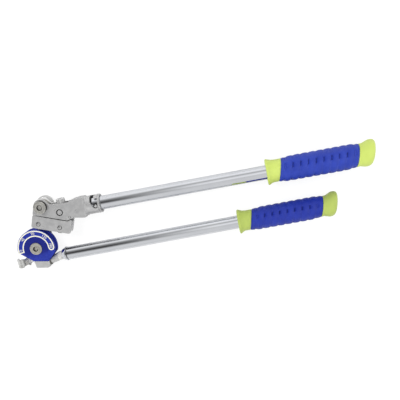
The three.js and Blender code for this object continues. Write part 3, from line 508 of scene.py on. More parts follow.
def band(inner, outer, trim):
    """The band's outline, with a round end and a square end, moved inwards by trim."""
    middle, half = (inner + outer) / 2, (outer - inner) / 2 - trim
    turn = math.radians(band_ends[0])
    x, y = middle * math.cos(turn), middle * math.sin(turn)
    cap = bow(half, band_ends[0] - 180, band_ends[0], 16, x, y)
    last = band_ends[1] - math.degrees(trim / middle)
    return [*bow(middle + half, band_ends[0], last, 72), *bow(middle - half, last, band_ends[0], 72),
            *cap[1:-1]]


scale_line = plate("scale_band", band(*band_radii, 0), former_half - enamel_depth,
                   former_half + enamel_height)
cut(scale_line, plate("inside", band(*band_radii, band_line), former_half - 1, former_half + 1))
numbers = []
for word, turn in figures:
    bpy.ops.object.select_all(action="DESELECT")
    bpy.ops.object.text_add(location=(0, 0, 0))
    text = bpy.context.active_object
    text.data.body = word
    text.data.size = figure_height
    text.data.align_x = "CENTER"
    text.data.align_y = "CENTER"
    text.data.extrude = figure_half
    bpy.ops.object.convert(target="MESH")
    x, y = rotated([(figure_radius, 0)], turn)[0]
    numbers.append(move(bpy.context.active_object, (x, y, former_half - figure_sink), (0, 0, turn - 90)))
for text in numbers:
    text.select_set(True)
bpy.context.view_layer.objects.active = numbers[0]
bpy.ops.object.join()
scale_figures = numbers[0]
scale_figures.name = scale_figures.data.name = "scale_figures"
cream = finish("cream_enamel", (236, 234, 214), (222, 219, 196), (0.35, 0.5), cloud=(3, 0.5),
               grained=(0.5, 0.004))
for piece in (scale_line, scale_figures):
    fit(piece, on_tool, "base", None, cream)

# Pivot bolt, nut and shim: a turned steel bolt with a wide flat head that sits in the former's
# recess, and a raised ring round its hexagon socket. Its nut is on the bench side, and a thin
# brass shim keeps the link off the former.
gap = 0.3  # between pieces that touch or turn on each other
bolt_radius = 4.0
hub_radius = 7.6
hub_foot, hub_top = 5.75, 8.05
ring_radius = 4.7
ring_top = 8.55
hub_line = 0.16  # depth of the fine line turned in the head
socket_flats = 5.0
socket_floor = 6.6
nut_flats = 13.0
nut_face = -13.0
nut_chamfer = 0.45
shim_radius = 9
shim_faces = (-7.45, -7.05)
mouth_sides = 48


def hexagon(flats, turn=12):
    """Six corners by the distance across the flats."""
    return bow(flats / 2 / math.cos(math.pi / 6), turn, turn + 300, 5)


def in_socket(centre, normal, flats, floor, top):
    """Whether a face is on the wall of a hexagon socket, below its rim."""
    inside = math.hypot(centre.x, centre.y) < flats * 0.68
    return inside and floor - 0.05 <= centre.z < top - 0.04 and abs(normal.z) < 0.85


def coated(piece, finishes, which):
    """Gives a piece several finishes: which(centre, normal) is the number of a face's finish."""
    for each in finishes:
        piece.data.materials.append(each)
    for face in piece.data.polygons:
        face.material_index = which(face.center, face.normal)
    return piece


bolt = turned(
    "pivot_bolt_turned",
    [(0, -lever_height), (bolt_radius - 0.4, -lever_height), (bolt_radius, -lever_height + 0.4),
     (bolt_radius, hub_foot), (hub_radius - 0.2, hub_foot), (hub_radius, hub_foot + 0.2),
     (hub_radius, hub_top - 0.5), (hub_radius - 0.15, hub_top - 0.15), (hub_radius - 0.5, hub_top),
     (6.5, hub_top), (6.35, hub_top - hub_line), (6.15, hub_top - hub_line), (6.0, hub_top),
     (5.1, hub_top), (ring_radius + 0.1, hub_top + 0.06), (ring_radius, ring_top - 0.2),
     (ring_radius - 0.2, ring_top), (0, ring_top)],
)
cut(bolt, plate("broach", hexagon(socket_flats), socket_floor, ring_top + 2))
cut(bolt, rod(2.5, ring_top - 0.8, ring_top + 0.1, sides=mouth_sides, mouth=3.4))
soften(bolt, 0.08)
steel = finish("turned_steel", (186, 184, 176), (158, 156, 148), (0.3, 0.46), metal=0.75, cloud=(4, 0.7),
               grained=(0.5, 0.004), worn=((225, 222, 210), 0.7), rings=((0, 0), 0.55, 0.008))
# The dark finish paints shade into socket walls and hollows, and a dark reflection onto a screw head's rim
shade = finish("dark_painted_shade", (62, 60, 58), (40, 39, 40), (0.4, 0.6), metal=0.5, cloud=(2, 0.6),
               grained=(0.4, 0.01))
# Painted shade on the walls of the bolt's socket
coated(bolt, (steel, shade), lambda c, n: int(in_socket(c, n, socket_flats, socket_floor, ring_top)))
fit(bolt, on_tool, "base", "pivot_bolt")


def hex_nut(name, flats, low, high, bore):
    """A hexagon nut: sawn from bar, its corners turned off, and drilled."""
    inner, corner = flats / 2, flats / 2 / math.cos(math.pi / 6) + 0.1
    turn_off = turned("turn_off", [(0, low), (inner, low), (corner, low + nut_chamfer),
                                   (corner, high - nut_chamfer), (inner, high), (0, high)])
    nut = cut(plate(name, hexagon(flats), low, high), turn_off, how="INTERSECT")
    return soften(cut(nut, rod(bore, low - 1, high + 1)), 0.12)


nut = hex_nut("pivot_nut_hex", nut_flats, -lever_height, nut_face, bolt_radius + gap)
fit(nut, on_tool, "base", "pivot_nut", steel)


def washer(name, bore, radius, low, high, edge):
    """A flat ring, such as a shim or spacer, with its edges broken."""
    ring = [(bore, low), (radius, low), (radius, high), (bore, high), (bore, low)]
    return soften(turned(name, ring), edge)


brass = finish("bearing_brass", (186, 150, 78), (160, 124, 60), (0.3, 0.45), metal=0.9, cloud=(5, 0.6),
               grained=(0.4, 0.004))
shim = washer("pivot_shim_ring", bolt_radius + gap, shim_radius, *shim_faces, 0.05)
fit(shim, on_tool, "base", "pivot_shim", brass)

# Block with shank and lug: one grey plated forging, with the block that the former is screwed to
# from below, a tapered shank that leans up to the lever's axis, and a lug for the latch's pin.
block_top = -16.5
block_foot = -25.4
block_half = 6.25
block_outline = [
    (-5, block_top), (-1.59, block_foot), (12.4, block_foot), (15.41, -23.9), (19.39, -19.8),
    (21.2, -12.43), (19.6, -10.5), (14.77, block_top),
]
slope_corners = [(14.2, 6.8), (24, 6.8), (24, -1.5)]  # along the block, and up from the levers' plane
shank_from = (29.5, -14.9, 0)  # where it meets the lever's axis
shank_lean = 15.58  # degrees
shank_length = 17.13
shank_radii = (4.4, 5.6)
shank_core = 5.2
latch_at = (-17.2, -16.2, -3.2)
latch_bore = 1.7
lug_half = 3.05
lug_shift = 0.65
lug_at = (latch_at[0], latch_at[1] + lug_shift, latch_at[2])
knuckle = 3.0
screw_head, screw_core, screw_seat = 2.75, 1.5, -22.4
screw_flats = 2.5


def cast(piece, grid, rounds):
    """Gives a piece the soft edges and fillets of a casting or forging."""
    shaped(piece, "REMESH", mode="VOXEL", voxel_size=grid)
    shaped(piece, "SMOOTH", factor=0.5, iterations=rounds)
    bpy.ops.object.shade_smooth()
    return piece


def on_edge(piece, at=(0, 0, 0)):
    """Stands a plate that was drawn flat on its edge, its thickness along Y."""
    return move(piece, at, (90, 0, 0))


block = plate("block_with_shank", rotated(block_outline, block_turn), -block_half, block_half)
slope = move(on_edge(plate("slope", slope_corners, 8, 30)), turn=(0, 0, block_turn))
cut(block, slope)  # the side towards the lever slopes back
cone = rod(shank_radii[0], -shank_length, -1.9, axis="X", sides=48, mouth=shank_radii[1])
move(cone, shank_from, (0, 0, shank_lean))
elbow = turned("elbow", bow(shank_core, -90, 90, 18), at=shank_from, sides=48)
stub = rod(shank_core, 0, 12, shank_from, "X", 48)
lug_left = -latch_at[0] - 5
lug_outline = [*bow(knuckle, 20, 270, 20), (lug_left, -knuckle), (lug_left, 1), (knuckle, 1)]
lug = on_edge(plate("lug", lug_outline, -lug_half, lug_half), lug_at)
cut(block, cone, elbow, stub, lug, how="UNION")
former_clear = rod(former_radius + gap, -beyond, beyond, sides=144)
cut(block, cut(former_clear, *flat_tools(gap)))
wide, narrow, seat = screw_head + gap, screw_core + gap, screw_seat + gap
stepped = [(0, -28), (wide, -28), (wide, seat), (narrow, seat), (narrow, -12), (0, -12)]
for along in block_screws:
    counterbore = turned("counterbore", stepped, axis="Y", at=(along, 0, 0), sides=48)
    cut(block, move(counterbore, turn=(0, 0, block_turn)))
cut(block, rod(latch_bore, -7, 7, latch_at, "Y", 32))
cast(block, 0.33, 4)
forged = finish("grey_plating", (196, 196, 196), (180, 180, 179), (0.32, 0.48), metal=0.45, cloud=(5, 0.6),
                grained=(0.6, 0.012), worn=((228, 226, 218), 0.6))
# A brighter copy of the block's plating is painted light on the lug and shank; a dark one is a painted dark
# reflection on the sloped flank
lug_shank_painted_light = finish("plating_painted_light", (222, 221, 220), (206, 205, 204), (0.3, 0.45), metal=0.3, cloud=(5, 0.6),
                grained=(0.6, 0.01))
flank_painted_dark = finish("flank_painted_dark_reflection", (112, 111, 106), (88, 87, 84), (0.4, 0.55), metal=0.5, cloud=(3, 0.6),
                grained=(0.5, 0.01))


def block_finish(c, n):
    """Painted light brightens the lug and the shank; a painted dark reflection darkens the sloped side's
    flank.
    """
    if n.x > 0.4 and 12 < c.x < 24 and c.y > -24 and c.z > -1:
        return 2
    return int(c.x < -6 or c.x > 24)


coated(block, (forged, lug_shank_painted_light, flank_painted_dark), block_finish)
fit(block, on_tool, "base", "former_block")
for side, along in zip(("left", "right"), block_screws):
    screw = turned(
        "block_screw_" + side,
        [(0, -25.1), (screw_head - 0.25, -25.1), (screw_head, -24.9), (screw_head, screw_seat),
         (screw_core, screw_seat), (screw_core, -11.4), (screw_core - 0.3, -11.2), (0, -11.2)],
        axis="Y", at=(along, 0, 0), sides=48)
    cut(screw, on_edge(plate("broach", hexagon(screw_flats), 23.6, 27), (along, 0, 0)))
    on_block = on_tool @ Matrix.Rotation(math.radians(block_turn), 4, "Z")
    fit(soften(screw, 0.06), on_block, "base", "former_screw_" + side, steel)

# Tube latch: a forged steel hook that swings over the tube to hold it in the groove. Its two
# cheeks straddle the block's lug on a short steel pin.
hook_half = 5.6
hook_tube = (-6.8, 3.2)  # the held tube's axis from the pin
hook_radii = (4.4, 6.4)
hook_ends = (-34, -12)
hook_narrow = (-3.7, 4.9)  # the knuckle's two sides from the pin's middle
cheek_slot = lug_half + gap
slot_radius = 3.6
pin_radius, pin_half, pin_broken = 1.4, 5.6, 0.2
hook_outline = [
    *bow(hook_radii[1], 200, 15, 36, *hook_tube), *bow(knuckle, 40, -130, 20),
    *bow(hook_radii[0], -30, 200, 40, *hook_tube),
]
hook = on_edge(plate("latch_hook", hook_outline, -hook_half, hook_half), latch_at)
slit = [*bow(slot_radius, 90, 270, 16), (5.6, -slot_radius), (5.6, slot_radius)]
cut(hook, on_edge(plate("slitter", slit, -cheek_slot, cheek_slot), lug_at))
(left, right), (low, high) = hook_ends, hook_narrow
plan = [(left, -hook_half), (-22.2, -hook_half), (-20.2, low), (right, low), (right, high), (-20.2, high),
        (-22.2, hook_half), (left, hook_half)]
cut(hook, plate("plan", [(x, latch_at[1] + y) for x, y in plan], -12, 12), how="INTERSECT")
cut(hook, rod(latch_bore, -7, 7, latch_at, "Y", 32))
cast(hook, 0.22, 3)
hook_steel = finish("hook_plating", (226, 226, 224), (196, 195, 190), (0.16, 0.3), metal=0.9, cloud=(4, 0.7),
                    grained=(0.5, 0.01), worn=((228, 227, 222), 0.6))
fit(hook, on_tool, "latch", "tube_latch", hook_steel)


def pin(name, radius, low, high, at, axis="Z"):
    """A round pin with its ends broken."""
    tip = radius - pin_broken
    profile = [(0, low), (tip, low), (radius, low + pin_broken), (radius, high - pin_broken),
               (tip, high), (0, high)]
    return soften(turned(name, profile, axis, at, 48), 0.05)


latch_pin = pin("latch_pin_turned", pin_radius, -pin_half, pin_half, latch_at, "Y")
fit(latch_pin, on_tool, "base", "latch_pin", steel)

# Lower lever: a chromed steel tube on a chromed ferrule, which has a short cone over the shank and
# a narrow raised collar at the tube's end.
lower_y = -14.9
lower_radius, lower_bore = 8.0, 6.5
lower_ends = (36.1, 366)
ferrule_bore, ferrule_spigot, ferrule_collar = 5.5, 6.2, 8.85
ferrule_ends = (29.5, 49.8)
collar_ends = (34.2, 35.8)


def drawn_tube(name, radius, bore, ends, at):
    """A drawn tube with its outer edges broken."""
    first, last = ends
    profile = [(bore, first), (radius - 0.3, first), (radius, first + 0.3), (radius, last - 0.3),
               (radius - 0.3, last), (bore, last), (bore, first)]
    return smooth(turned(name, profile, "X", at, 128), 25)


ferrule = turned(
    "lower_ferrule_turned",
    [(ferrule_bore, ferrule_ends[0]), (5.8, ferrule_ends[0]), (6.15, 29.65), (6.5, 30.1), (7.7, 33.3),
     (7.85, 33.7), (7.55, 33.9), (7.55, collar_ends[0]), (8.5, collar_ends[0]), (ferrule_collar, 34.5),
     (ferrule_collar, 35.45), (8.5, collar_ends[1]), (ferrule_spigot, collar_ends[1]),
     (ferrule_spigot, ferrule_ends[1]), (ferrule_bore, ferrule_ends[1]), (ferrule_bore, ferrule_ends[0])],
    axis="X", at=(0, lower_y, 0), sides=128)
chrome = finish("bright_chrome", (226, 228, 232), (216, 218, 224), (0.05, 0.1), metal=1.0, cloud=(30, 0.6),
                grained=(1.2, 0.0005))
fit(smooth(ferrule, 40), on_tool, "base", "lower_ferrule", chrome)
lower_tube = drawn_tube("lower_lever_tube", lower_radius, lower_bore, lower_ends, (0, lower_y, 0))
fit(lower_tube, on_tool, "base", "lower_handle_tube", chrome)

# Grips: each is moulded in two shots, a lime plastic core with a flared collar and a round end,
# and a blue rubber sleeve with round ribs, whose grooves are deeper in four rows.
flare_shares = [(0, 0.55), (0.05, 1), (0.12, 0.97), (0.24, 0.6), (0.38, 0.22), (0.56, 0)]
bulb_shares = [(0.22, 0), (0.42, 0.55), (0.56, 0.92), (0.66, 1)]
end_shares = [(0.8, 0.985), (0.91, 0.92), (0.98, 0.8), (1, 0.6)]
waist_drop = 0.9
neck_drop = 0.65  # how much slimmer still the core is beside the sleeve
sleeve_wall = 2.6
rib_lean = 0.24
bulb_rise = 1.0
rib_pitch = 8.95
rib_depth, rib_width = 0.7, 1.8
pocket_depth = 1.6
pocket_steep, pocket_slow = 0.6, 2.2  # it falls steeply on the head's side and runs out slowly
pocket_rows = 4
row_turn = 24  # degrees of the first row from straight up
row_edge = 9  # degrees over which a row fades out
sleeve_steps = 240
sleeve_ease = 15  # length over which each end of the sleeve runs down to the core


def clamped(share):
    """A share kept between none and all."""
    return min(max(share, 0), 1)


def eased_share(share):
    """A share between none and all, with a soft start and end."""
    share = clamped(share)
    return share * share * (3 - 2 * share)


def eased(points):
    """A smooth line through the points of a profile."""
    ends = [points[0], *points, points[-1]]
    line = []
    for i in range(1, len(ends) - 2):
        a, b, c, d = (Vector(p) for p in ends[i - 1 : i + 3])
        for t in (0, 0.2, 0.4, 0.6, 0.8):
            curve = (2 * a - 5 * b + 4 * c - d) * t**2 + (3 * b - a - 3 * c + d) * t**3
            line.append(tuple(0.5 * (2 * b + (c - a) * t + curve)))
    return [*line, tuple(points[-1])]


def lean_grip(piece, mouth, seam_after, bulb_from, bulb_length):
    """Leans the ribs and seams as the mould has them, and sets the round end a little off centre."""
    for v in piece.data.vertices:
        lean = eased_share((v.co.x - mouth) / seam_after)
        rise = eased_share((v.co.x - bulb_from) / (0.6 * bulb_length))
        v.co.x += rib_lean * lean * v.co.y
        v.co.y += bulb_rise * rise


def grip_core(name, first, length, flare, seam, sleeve, crest, tube, tube_end):
    """The lime core: collar, seat for the sleeve, waist and round end."""
    waist, seat = crest - waist_drop - neck_drop, crest - sleeve_wall
    end, last_seam = length - seam - sleeve, seam + sleeve
    bore, stop = tube + gap, tube_end + gap - first

    def over(level):
        return waist + level * (flare - waist)

    collar = eased([(over(s), a * seam) for a, s in flare_shares])
    bulb = [(over(s), length - (1 - a) * end) for a, s in bulb_shares]
    bulb += [(s * flare, length - (1 - a) * end) for a, s in end_shares]
    bulb = eased([*bulb, (0, length + 0.05)])
    profile = [(bore, 0), *collar, (waist, seam - 0.6), (waist - 0.3, seam - 0.3), (seat, seam - 0.3),
               (seat, last_seam + 0.3), (waist - 0.3, last_seam + 0.3), (waist, last_seam + 0.6), *bulb,
               (0, stop), (bore, stop), (bore, 0)]
    core = turned(name, [(r, h + first) for r, h in profile], "X", sides=96)
    lean_grip(core, first, seam, first + length - end, end)
    return core


def grip_sleeve(name, first, length, crest, row_half):
    """The ribbed sleeve. Its rows of pockets are pressed in after it is turned."""
    inner = crest - sleeve_wall + gap
    ribs = int((length - 8) // rib_pitch)
    plain = (length - ribs * rib_pitch) / 2
    outside = [(crest, length * i / sleeve_steps) for i in range(sleeve_steps + 1)]
    profile = [(inner, 0), *outside, (inner, length), (inner, 0)]
    sleeve = turned(name, [(r, h + first) for r, h in profile], "X", sides=120)
    for v in sleeve.data.vertices:
        radius = math.hypot(v.co.y, v.co.z)
        if radius < inner + 0.1:
            continue
        x = v.co.x - first
        turn = math.degrees(math.atan2(v.co.y, v.co.z)) - row_turn
        off_row = abs((turn + 180 / pocket_rows) % (360 / pocket_rows) - 180 / pocket_rows)
        along_rib = (x - plain) / rib_pitch
        level = 0.0
        if -0.3 < along_rib < ribs + 0.3:
            past = (along_rib - round(along_rib)) * rib_pitch
            row = eased_share(1 - clamped((off_row - row_half) / row_edge + 0.5))
            reach = pocket_steep if past < 0 else pocket_slow
            level = rib_depth * math.exp(-((past / rib_width) ** 2))
            level += row * pocket_depth * math.exp(-((past / reach) ** 2))
        from_end = min(x, length - x)
        ease = max(0.0, 1 - from_end / sleeve_ease)
        lip = max(0.0, 1 - from_end / 0.5)
        drop = level + (waist_drop + neck_drop) * ease**2 + 0.3 * lip**2
        v.co.y *= (radius - drop) / radius
        v.co.z *= (radius - drop) / radius
    lean_grip(sleeve, first - 1, 0.5, first + length, length)
    return sleeve


def grip(which, place, body, axis_y, plastics, row_half, first, length, flare, seam, sleeve, crest, tube,
         tube_end):
    """A whole grip on its lever: the core, then the sleeve round it."""
    core = grip_core(which + "_grip_core_moulded", first, length, flare, seam, sleeve, crest, tube, tube_end)
    core = smooth(move(core, (0, axis_y, 0)), 50)
    fit(core, place, body, which + "_grip_core", plastics[0])
    skin = grip_sleeve(which + "_grip_sleeve_moulded", first + seam, sleeve, crest, row_half)
    skin = smooth(move(skin, (0, axis_y, 0)), 55)
    fit(skin, place, body, which + "_grip_sleeve", plastics[1])


lime = finish("lime_plastic", (204, 222, 110), (196, 214, 100), (0.38, 0.5), cloud=(16, 0.6),
              grained=(0.6, 0.01), worn=((222, 240, 140), 0.4))
rubber = finish("blue_rubber", (38, 62, 172), (30, 52, 156), (0.46, 0.62), cloud=(14, 0.6),
                grained=(0.45, 0.022), worn=((74, 92, 214), 0.5), deep=((10, 16, 78), 0.8))
# Darker copies of the lime and the blue for the lower grip: painted shade, as that grip gets less light
lime_painted_shade = finish("lime_plastic_painted_shade", (180, 198, 98), (172, 190, 90), (0.38, 0.5), cloud=(16, 0.6),
                  grained=(0.6, 0.01), worn=((200, 220, 120), 0.4))
rubber_painted_shade = finish("blue_rubber_painted_shade", (26, 48, 158), (20, 40, 144), (0.46, 0.62), cloud=(14, 0.6),
                    grained=(0.45, 0.022), worn=((60, 78, 196), 0.5), deep=((8, 14, 70), 0.8))
grip("lower", on_tool, "base", lower_y, (lime_painted_shade, rubber_painted_shade), row_half=10, first=252.5, length=118.5,
     flare=14.7, seam=15.6, sleeve=85.5, crest=13.7, tube=lower_radius, tube_end=lower_ends[1])

# Rear link: a flat cast strap behind the former, from the pivot bolt up to the yoke's screw, with
# a brass bush pressed into its lower eye.
head_turn = -20.5
on_head = on_tool @ Matrix.Rotation(math.radians(head_turn), 4, "Z")
yoke_at = (1.3, 54.55)
link_faces = (-12.25, -7.75)
link_radii = (12.5, 10.7)
link_length = math.hypot(*yoke_at)
link_turn = math.degrees(math.atan2(yoke_at[1], yoke_at[0]))
lean_angle = math.degrees(math.acos((link_radii[0] - link_radii[1]) / link_length))
bush_radius = 6.3
yoke_bore = 5.3
strap = [
    *bow(link_radii[0], lean_angle, 360 - lean_angle, 60),
    *bow(link_radii[1], -lean_angle, lean_angle, 48, link_length, 0),
]
link = plate("rear_link_cast", rotated(strap, link_turn), *link_faces)
cut(link, rod(bush_radius + gap, -14, -6, sides=72), rod(yoke_bore, -14, -6, (*yoke_at, 0), sides=72))
soften(link, 0.55, 3)
strap_steel = finish("link_plating", (222, 222, 221), (206, 206, 205), (0.3, 0.42), metal=0.45,
                     cloud=(6, 0.6), grained=(0.6, 0.01), worn=((224, 224, 222), 0.6))
fit(link, on_head, "link", "rear_link", strap_steel)
bush = turned("link_bush_turned", [(4.3, -12.4), (6.1, -12.4), (bush_radius, -12.2), (bush_radius, -7.8),
                                   (6.1, -7.6), (4.3, -7.6), (4.3, -12.4)])
fit(soften(bush, 0.06), on_head, "link", "link_bush", brass)

# Yoke: one plated zinc casting, with two arms that straddle the roller bracket, a bridge with the
# stop screw's seat, a body that thickens at its shoulder, and a socket for the upper lever.
yoke_turn = -0.5
rollers_turn = head_turn - yoke_turn  # direction of the rollers' line in the yoke's frame
at_pivot = on_head @ Matrix.Translation((*yoke_at, 0))
on_yoke = at_pivot @ Matrix.Rotation(math.radians(yoke_turn - head_turn), 4, "Z")
yoke_back, yoke_front = -7.25, 8.0
yoke_reach = 54.5
arm_foot = -11.6  # the arms' underside, across the rollers' line
eye_radius = 9.3
slot_half, slot_end = 3.9, 36.68
bridge_ends, bridge_foot = (16.35, 31.23), -4.6
upper_y = -9.7
socket_radius, socket_mouth = 11.4, 73.1
window_from, window_length = 61.3, 9.2
window_shares = [(0, 1.2), (0, 0.456), (0.25, -0.026), (0.51, -0.325), (0.9, -0.27), (1, 0.15), (1, 0.69),
                 (0.51, 0.69), (0.51, 1.2)]
stop_x = 23.6
mid_hole, cross_hole = 3.3, 1.5
through = (yoke_back - 2, yoke_front + 2)


def by_rollers(along, across):
    """A point given along and across the rollers' line from the yoke's pivot."""
    return rotated([(along, across)], rollers_turn)[0]


def round_corners(corners, steps=5):
    """An outline from (x, y, radius), with each radius as a small arc."""
    out = []
    for i, (x, y, radius) in enumerate(corners):
        here = Vector((x, y))
        if not radius:
            out.append((x, y))
            continue
        a = (Vector(corners[i - 1][:2]) - here).normalized()
        b = (Vector(corners[(i + 1) % len(corners)][:2]) - here).normalized()
        half = a.angle(b) / 2
        centre = here + (a + b).normalized() * radius / math.sin(half)
        first = here + a * radius / math.tan(half) - centre
        last = here + b * radius / math.tan(half) - centre
        turn = math.atan2(first.y, first.x)
        sweep = (math.atan2(last.y, last.x) - turn + math.pi) % (2 * math.pi) - math.pi
        out += bow(radius, math.degrees(turn), math.degrees(turn + sweep), steps, centre.x, centre.y)
    return out


heel = by_rollers(-eye_radius, arm_foot)
arm_corner = by_rollers(33.9, arm_foot)
slant_end = bow(6.1, 14, 14, 1, *arm_corner)[0]
yoke_outline = round_corners(
    [(*heel, 0.8), (*arm_corner, 0.8), (*slant_end, 2.4), (36.3, -20.4, 2.4), (50.69, -22.99, 2.4),
     (yoke_reach, -21.36, 0), (yoke_reach, 0, 0), (52.81, 1.99, 0.8), (48.12, 2.5, 2.4), (41.2, 1.7, 2.4),
     (35.81, 0.12, 2.4), (31.5, -0.74, 2.4), (27.58, -0.67, 2.4), (10.36, 0.72, 0)]
    + [(x, y, 0) for x, y in bow(eye_radius, 60, 180 + rollers_turn, 16)])
yoke = plate("yoke_cast", yoke_outline, yoke_back, yoke_front)
shoulder = [(50.5, -7.4), (yoke_reach, -10.5), (yoke_reach, 10.5), (50.5, 6.65)]
wedge = on_edge(plate("wedge", shoulder, -24, 24))
cut(wedge, plate("trim", yoke_outline, -13, 13), how="INTERSECT")
ridge = [(0.1, 54.0), (0.55, 54.6), (0.55, 55.4), (0, 56.2), (0, 69.4), (0.3, 69.9), (0.3, 70.4),
         (-0.5, 70.8), (-0.5, 71.3), (0.15, 71.7), (0.15, 72.7), (-0.1, socket_mouth)]  # over its radius
socket = turned(
    "socket", [(0, 50.5), (6.65, 50.5), *[(socket_radius + rise, x) for rise, x in ridge], (0, socket_mouth)],
    axis="X", at=(0, upper_y, 0), sides=128)
cut(yoke, wedge, socket, how="UNION")
bore_tool = turned("bore", [(0, 60.8), (8.8, 60.8), (8.8, 71.6), (10.3, socket_mouth), (10.3, 76), (0, 76)],
                   axis="X", at=(0, upper_y, 0), sides=128)
window = [
    (window_from + a * window_length, upper_y + u * socket_radius, 0.7 if 0 < i < 8 else 0)
    for i, (a, u) in enumerate(window_shares)
]
window_tool = plate("window", round_corners(window, 4), 0, 14)
left, right = bridge_ends
slot_outline = [(-19, -48), (slot_end, -48), (slot_end, 24), (right, 24), (right, bridge_foot),
                (left, bridge_foot), (left, 24), (-19, 24)]
slot_tool = plate("slot", slot_outline, -slot_half, slot_half)
mid_at = by_rollers(23.8, -3)
cross_at = by_rollers(36.6, -6.8)
cut(yoke, window_tool, slot_tool, plate("relief", oblong(36, 40.6, -3, 9), -1.5, 1.5))
cast(yoke, 0.38, 3)
sunk = rod(4.1, yoke_front - 1.9, through[1], (*mid_at, 0))
mid_holes = cut(rod(mid_hole, *through, (*mid_at, 0)), sunk, how="UNION")
cut(yoke, bore_tool, mid_holes, rod(yoke_bore, *through), rod(cross_hole, *through, (*cross_at, 0)))
cut(yoke, turned("stop_bore", [(0, -8), (2.9, -8), (2.9, -1.4), (5.6, -1.4), (5.6, 24), (0, 24)], axis="Y",
                 at=(stop_x, 0, 0), sides=48))
smooth(yoke, 40)
casting = finish("satin_casting", (204, 204, 204), (180, 180, 181), (0.26, 0.4), metal=0.65, cloud=(6, 0.6),
                 grained=(0.7, 0.016), worn=((222, 222, 220), 0.7))
# Dark and bright copies of the casting's finish: painted shade in slots, holes and gaps, painted light on the
# far arm's and far cheek's ends
casting_painted_shade = finish("casting_dark_painted_shade", (70, 70, 71), (52, 52, 54), (0.5, 0.7), metal=0.5, cloud=(3, 0.6),
             grained=(0.7, 0.03))
casting_painted_light = finish("casting_bright_painted_light", (238, 238, 238), (226, 226, 226), (0.3, 0.42), metal=0.3, cloud=(6, 0.5),
                grained=(0.6, 0.008))


def yoke_finish(c, n):
    """Painted shade darkens the slot, the holes, the window's cut face and the arm's underside by the
    bracket; painted light brightens the far arm's end.
    """
    in_slot = abs(c.z) < slot_half - 0.3 and c.x < slot_end + 0.22
    in_hole = math.dist((c.x, c.y), mid_at) < 4.2
    in_window = 61 < c.x < 66.6 and c.y > -2.7 and n.z > 0.6 and c.z < 1.2
    across, facing = (rotated([(v.x, v.y)], -rollers_turn)[0][1] for v in (c, n))
    by_bracket = across < arm_foot + 0.5 and facing < -0.6 and c.x < 34
    if in_slot or in_hole or in_window or by_bracket:
        return 1
    return 2 if c.z < 0.3 - slot_half and c.y > 0 and c.x < 12 else 0


coated(yoke, (casting, casting_painted_shade, casting_painted_light), yoke_finish)
fit(yoke, on_yoke, "yoke_handle", "yoke")

# Screw, nut, pins and spacer of the yoke: a large socket screw holds yoke and link together over a
# steel spacer. A riveted pin carries the roller bracket, a thin pin crosses both arms, and the
# stop screw stands in the bridge.
yoke_screw_radius = 5
head_radius = 8.0
head_foot, head_top = 8.3, 13.3
head_flats, head_floor = 5.2, 11.5
link_nut_flats, link_nut_ends = 15, (-15.2, -12.55)
spacer_radius = 7.2
stop_radius, stop_core, stop_flats = 5.3, 2.6, 4
knurl_step = 4.5  # degrees between the lines of its side
knurl_every = 4
knurl_share = 0.86
yoke_screw = turned(
    "yoke_screw_turned",
    [(0, -15.2), (4.6, -15.2), (yoke_screw_radius, -14.8), (yoke_screw_radius, head_foot),
     (head_radius - 0.2, head_foot), (head_radius, head_foot + 0.2), (head_radius, head_top - 0.8),
     (head_radius - 0.25, head_top - 0.25), (head_radius - 0.8, head_top), (6.75, head_top),
     (6.6, head_top - 0.14), (6.4, head_top - 0.14), (6.25, head_top), (5.05, head_top),
     (4.9, head_top - 0.12), (4.7, head_top - 0.12), (4.55, head_top), (0, head_top)])
cut(yoke_screw, plate("broach", hexagon(head_flats, 0), head_floor, 16))
cut(yoke_screw, rod(2.5, head_top - 0.9, head_top + 0.1, sides=mouth_sides, mouth=3.55))
soften(yoke_screw, 0.08)
screw_steel = finish("screw_steel", (196, 196, 193), (138, 138, 136), (0.26, 0.44), metal=0.8,
                     cloud=(1.8, 0.9), grained=(0.7, 0.016), worn=((228, 225, 215), 0.7),
                     rings=(rotated([yoke_at], head_turn)[0], 0.6, 0.008))


def screw_finish(c, n):
    """Painted shade darkens the socket's walls; a painted dark reflection darkens the head's rim."""
    on_rim = math.hypot(c.x, c.y) > head_radius - 0.35 and head_foot + 0.1 < c.z < head_top - 0.55
    return int(on_rim or in_socket(c, n, head_flats, head_floor, head_top))


coated(yoke_screw, (screw_steel, shade), screw_finish)
fit(yoke_screw, at_pivot, "link", "yoke_screw")
yoke_nut = hex_nut("yoke_nut_hex", link_nut_flats, *link_nut_ends, yoke_screw_radius + gap)
fit(yoke_nut, at_pivot, "link", "yoke_nut", steel)
spacer = washer("yoke_spacer_turned", yoke_screw_radius + gap, spacer_radius, gap - slot_half,
                slot_half - gap, 0.15)
fit(spacer, at_pivot, "link", "yoke_spacer", steel)

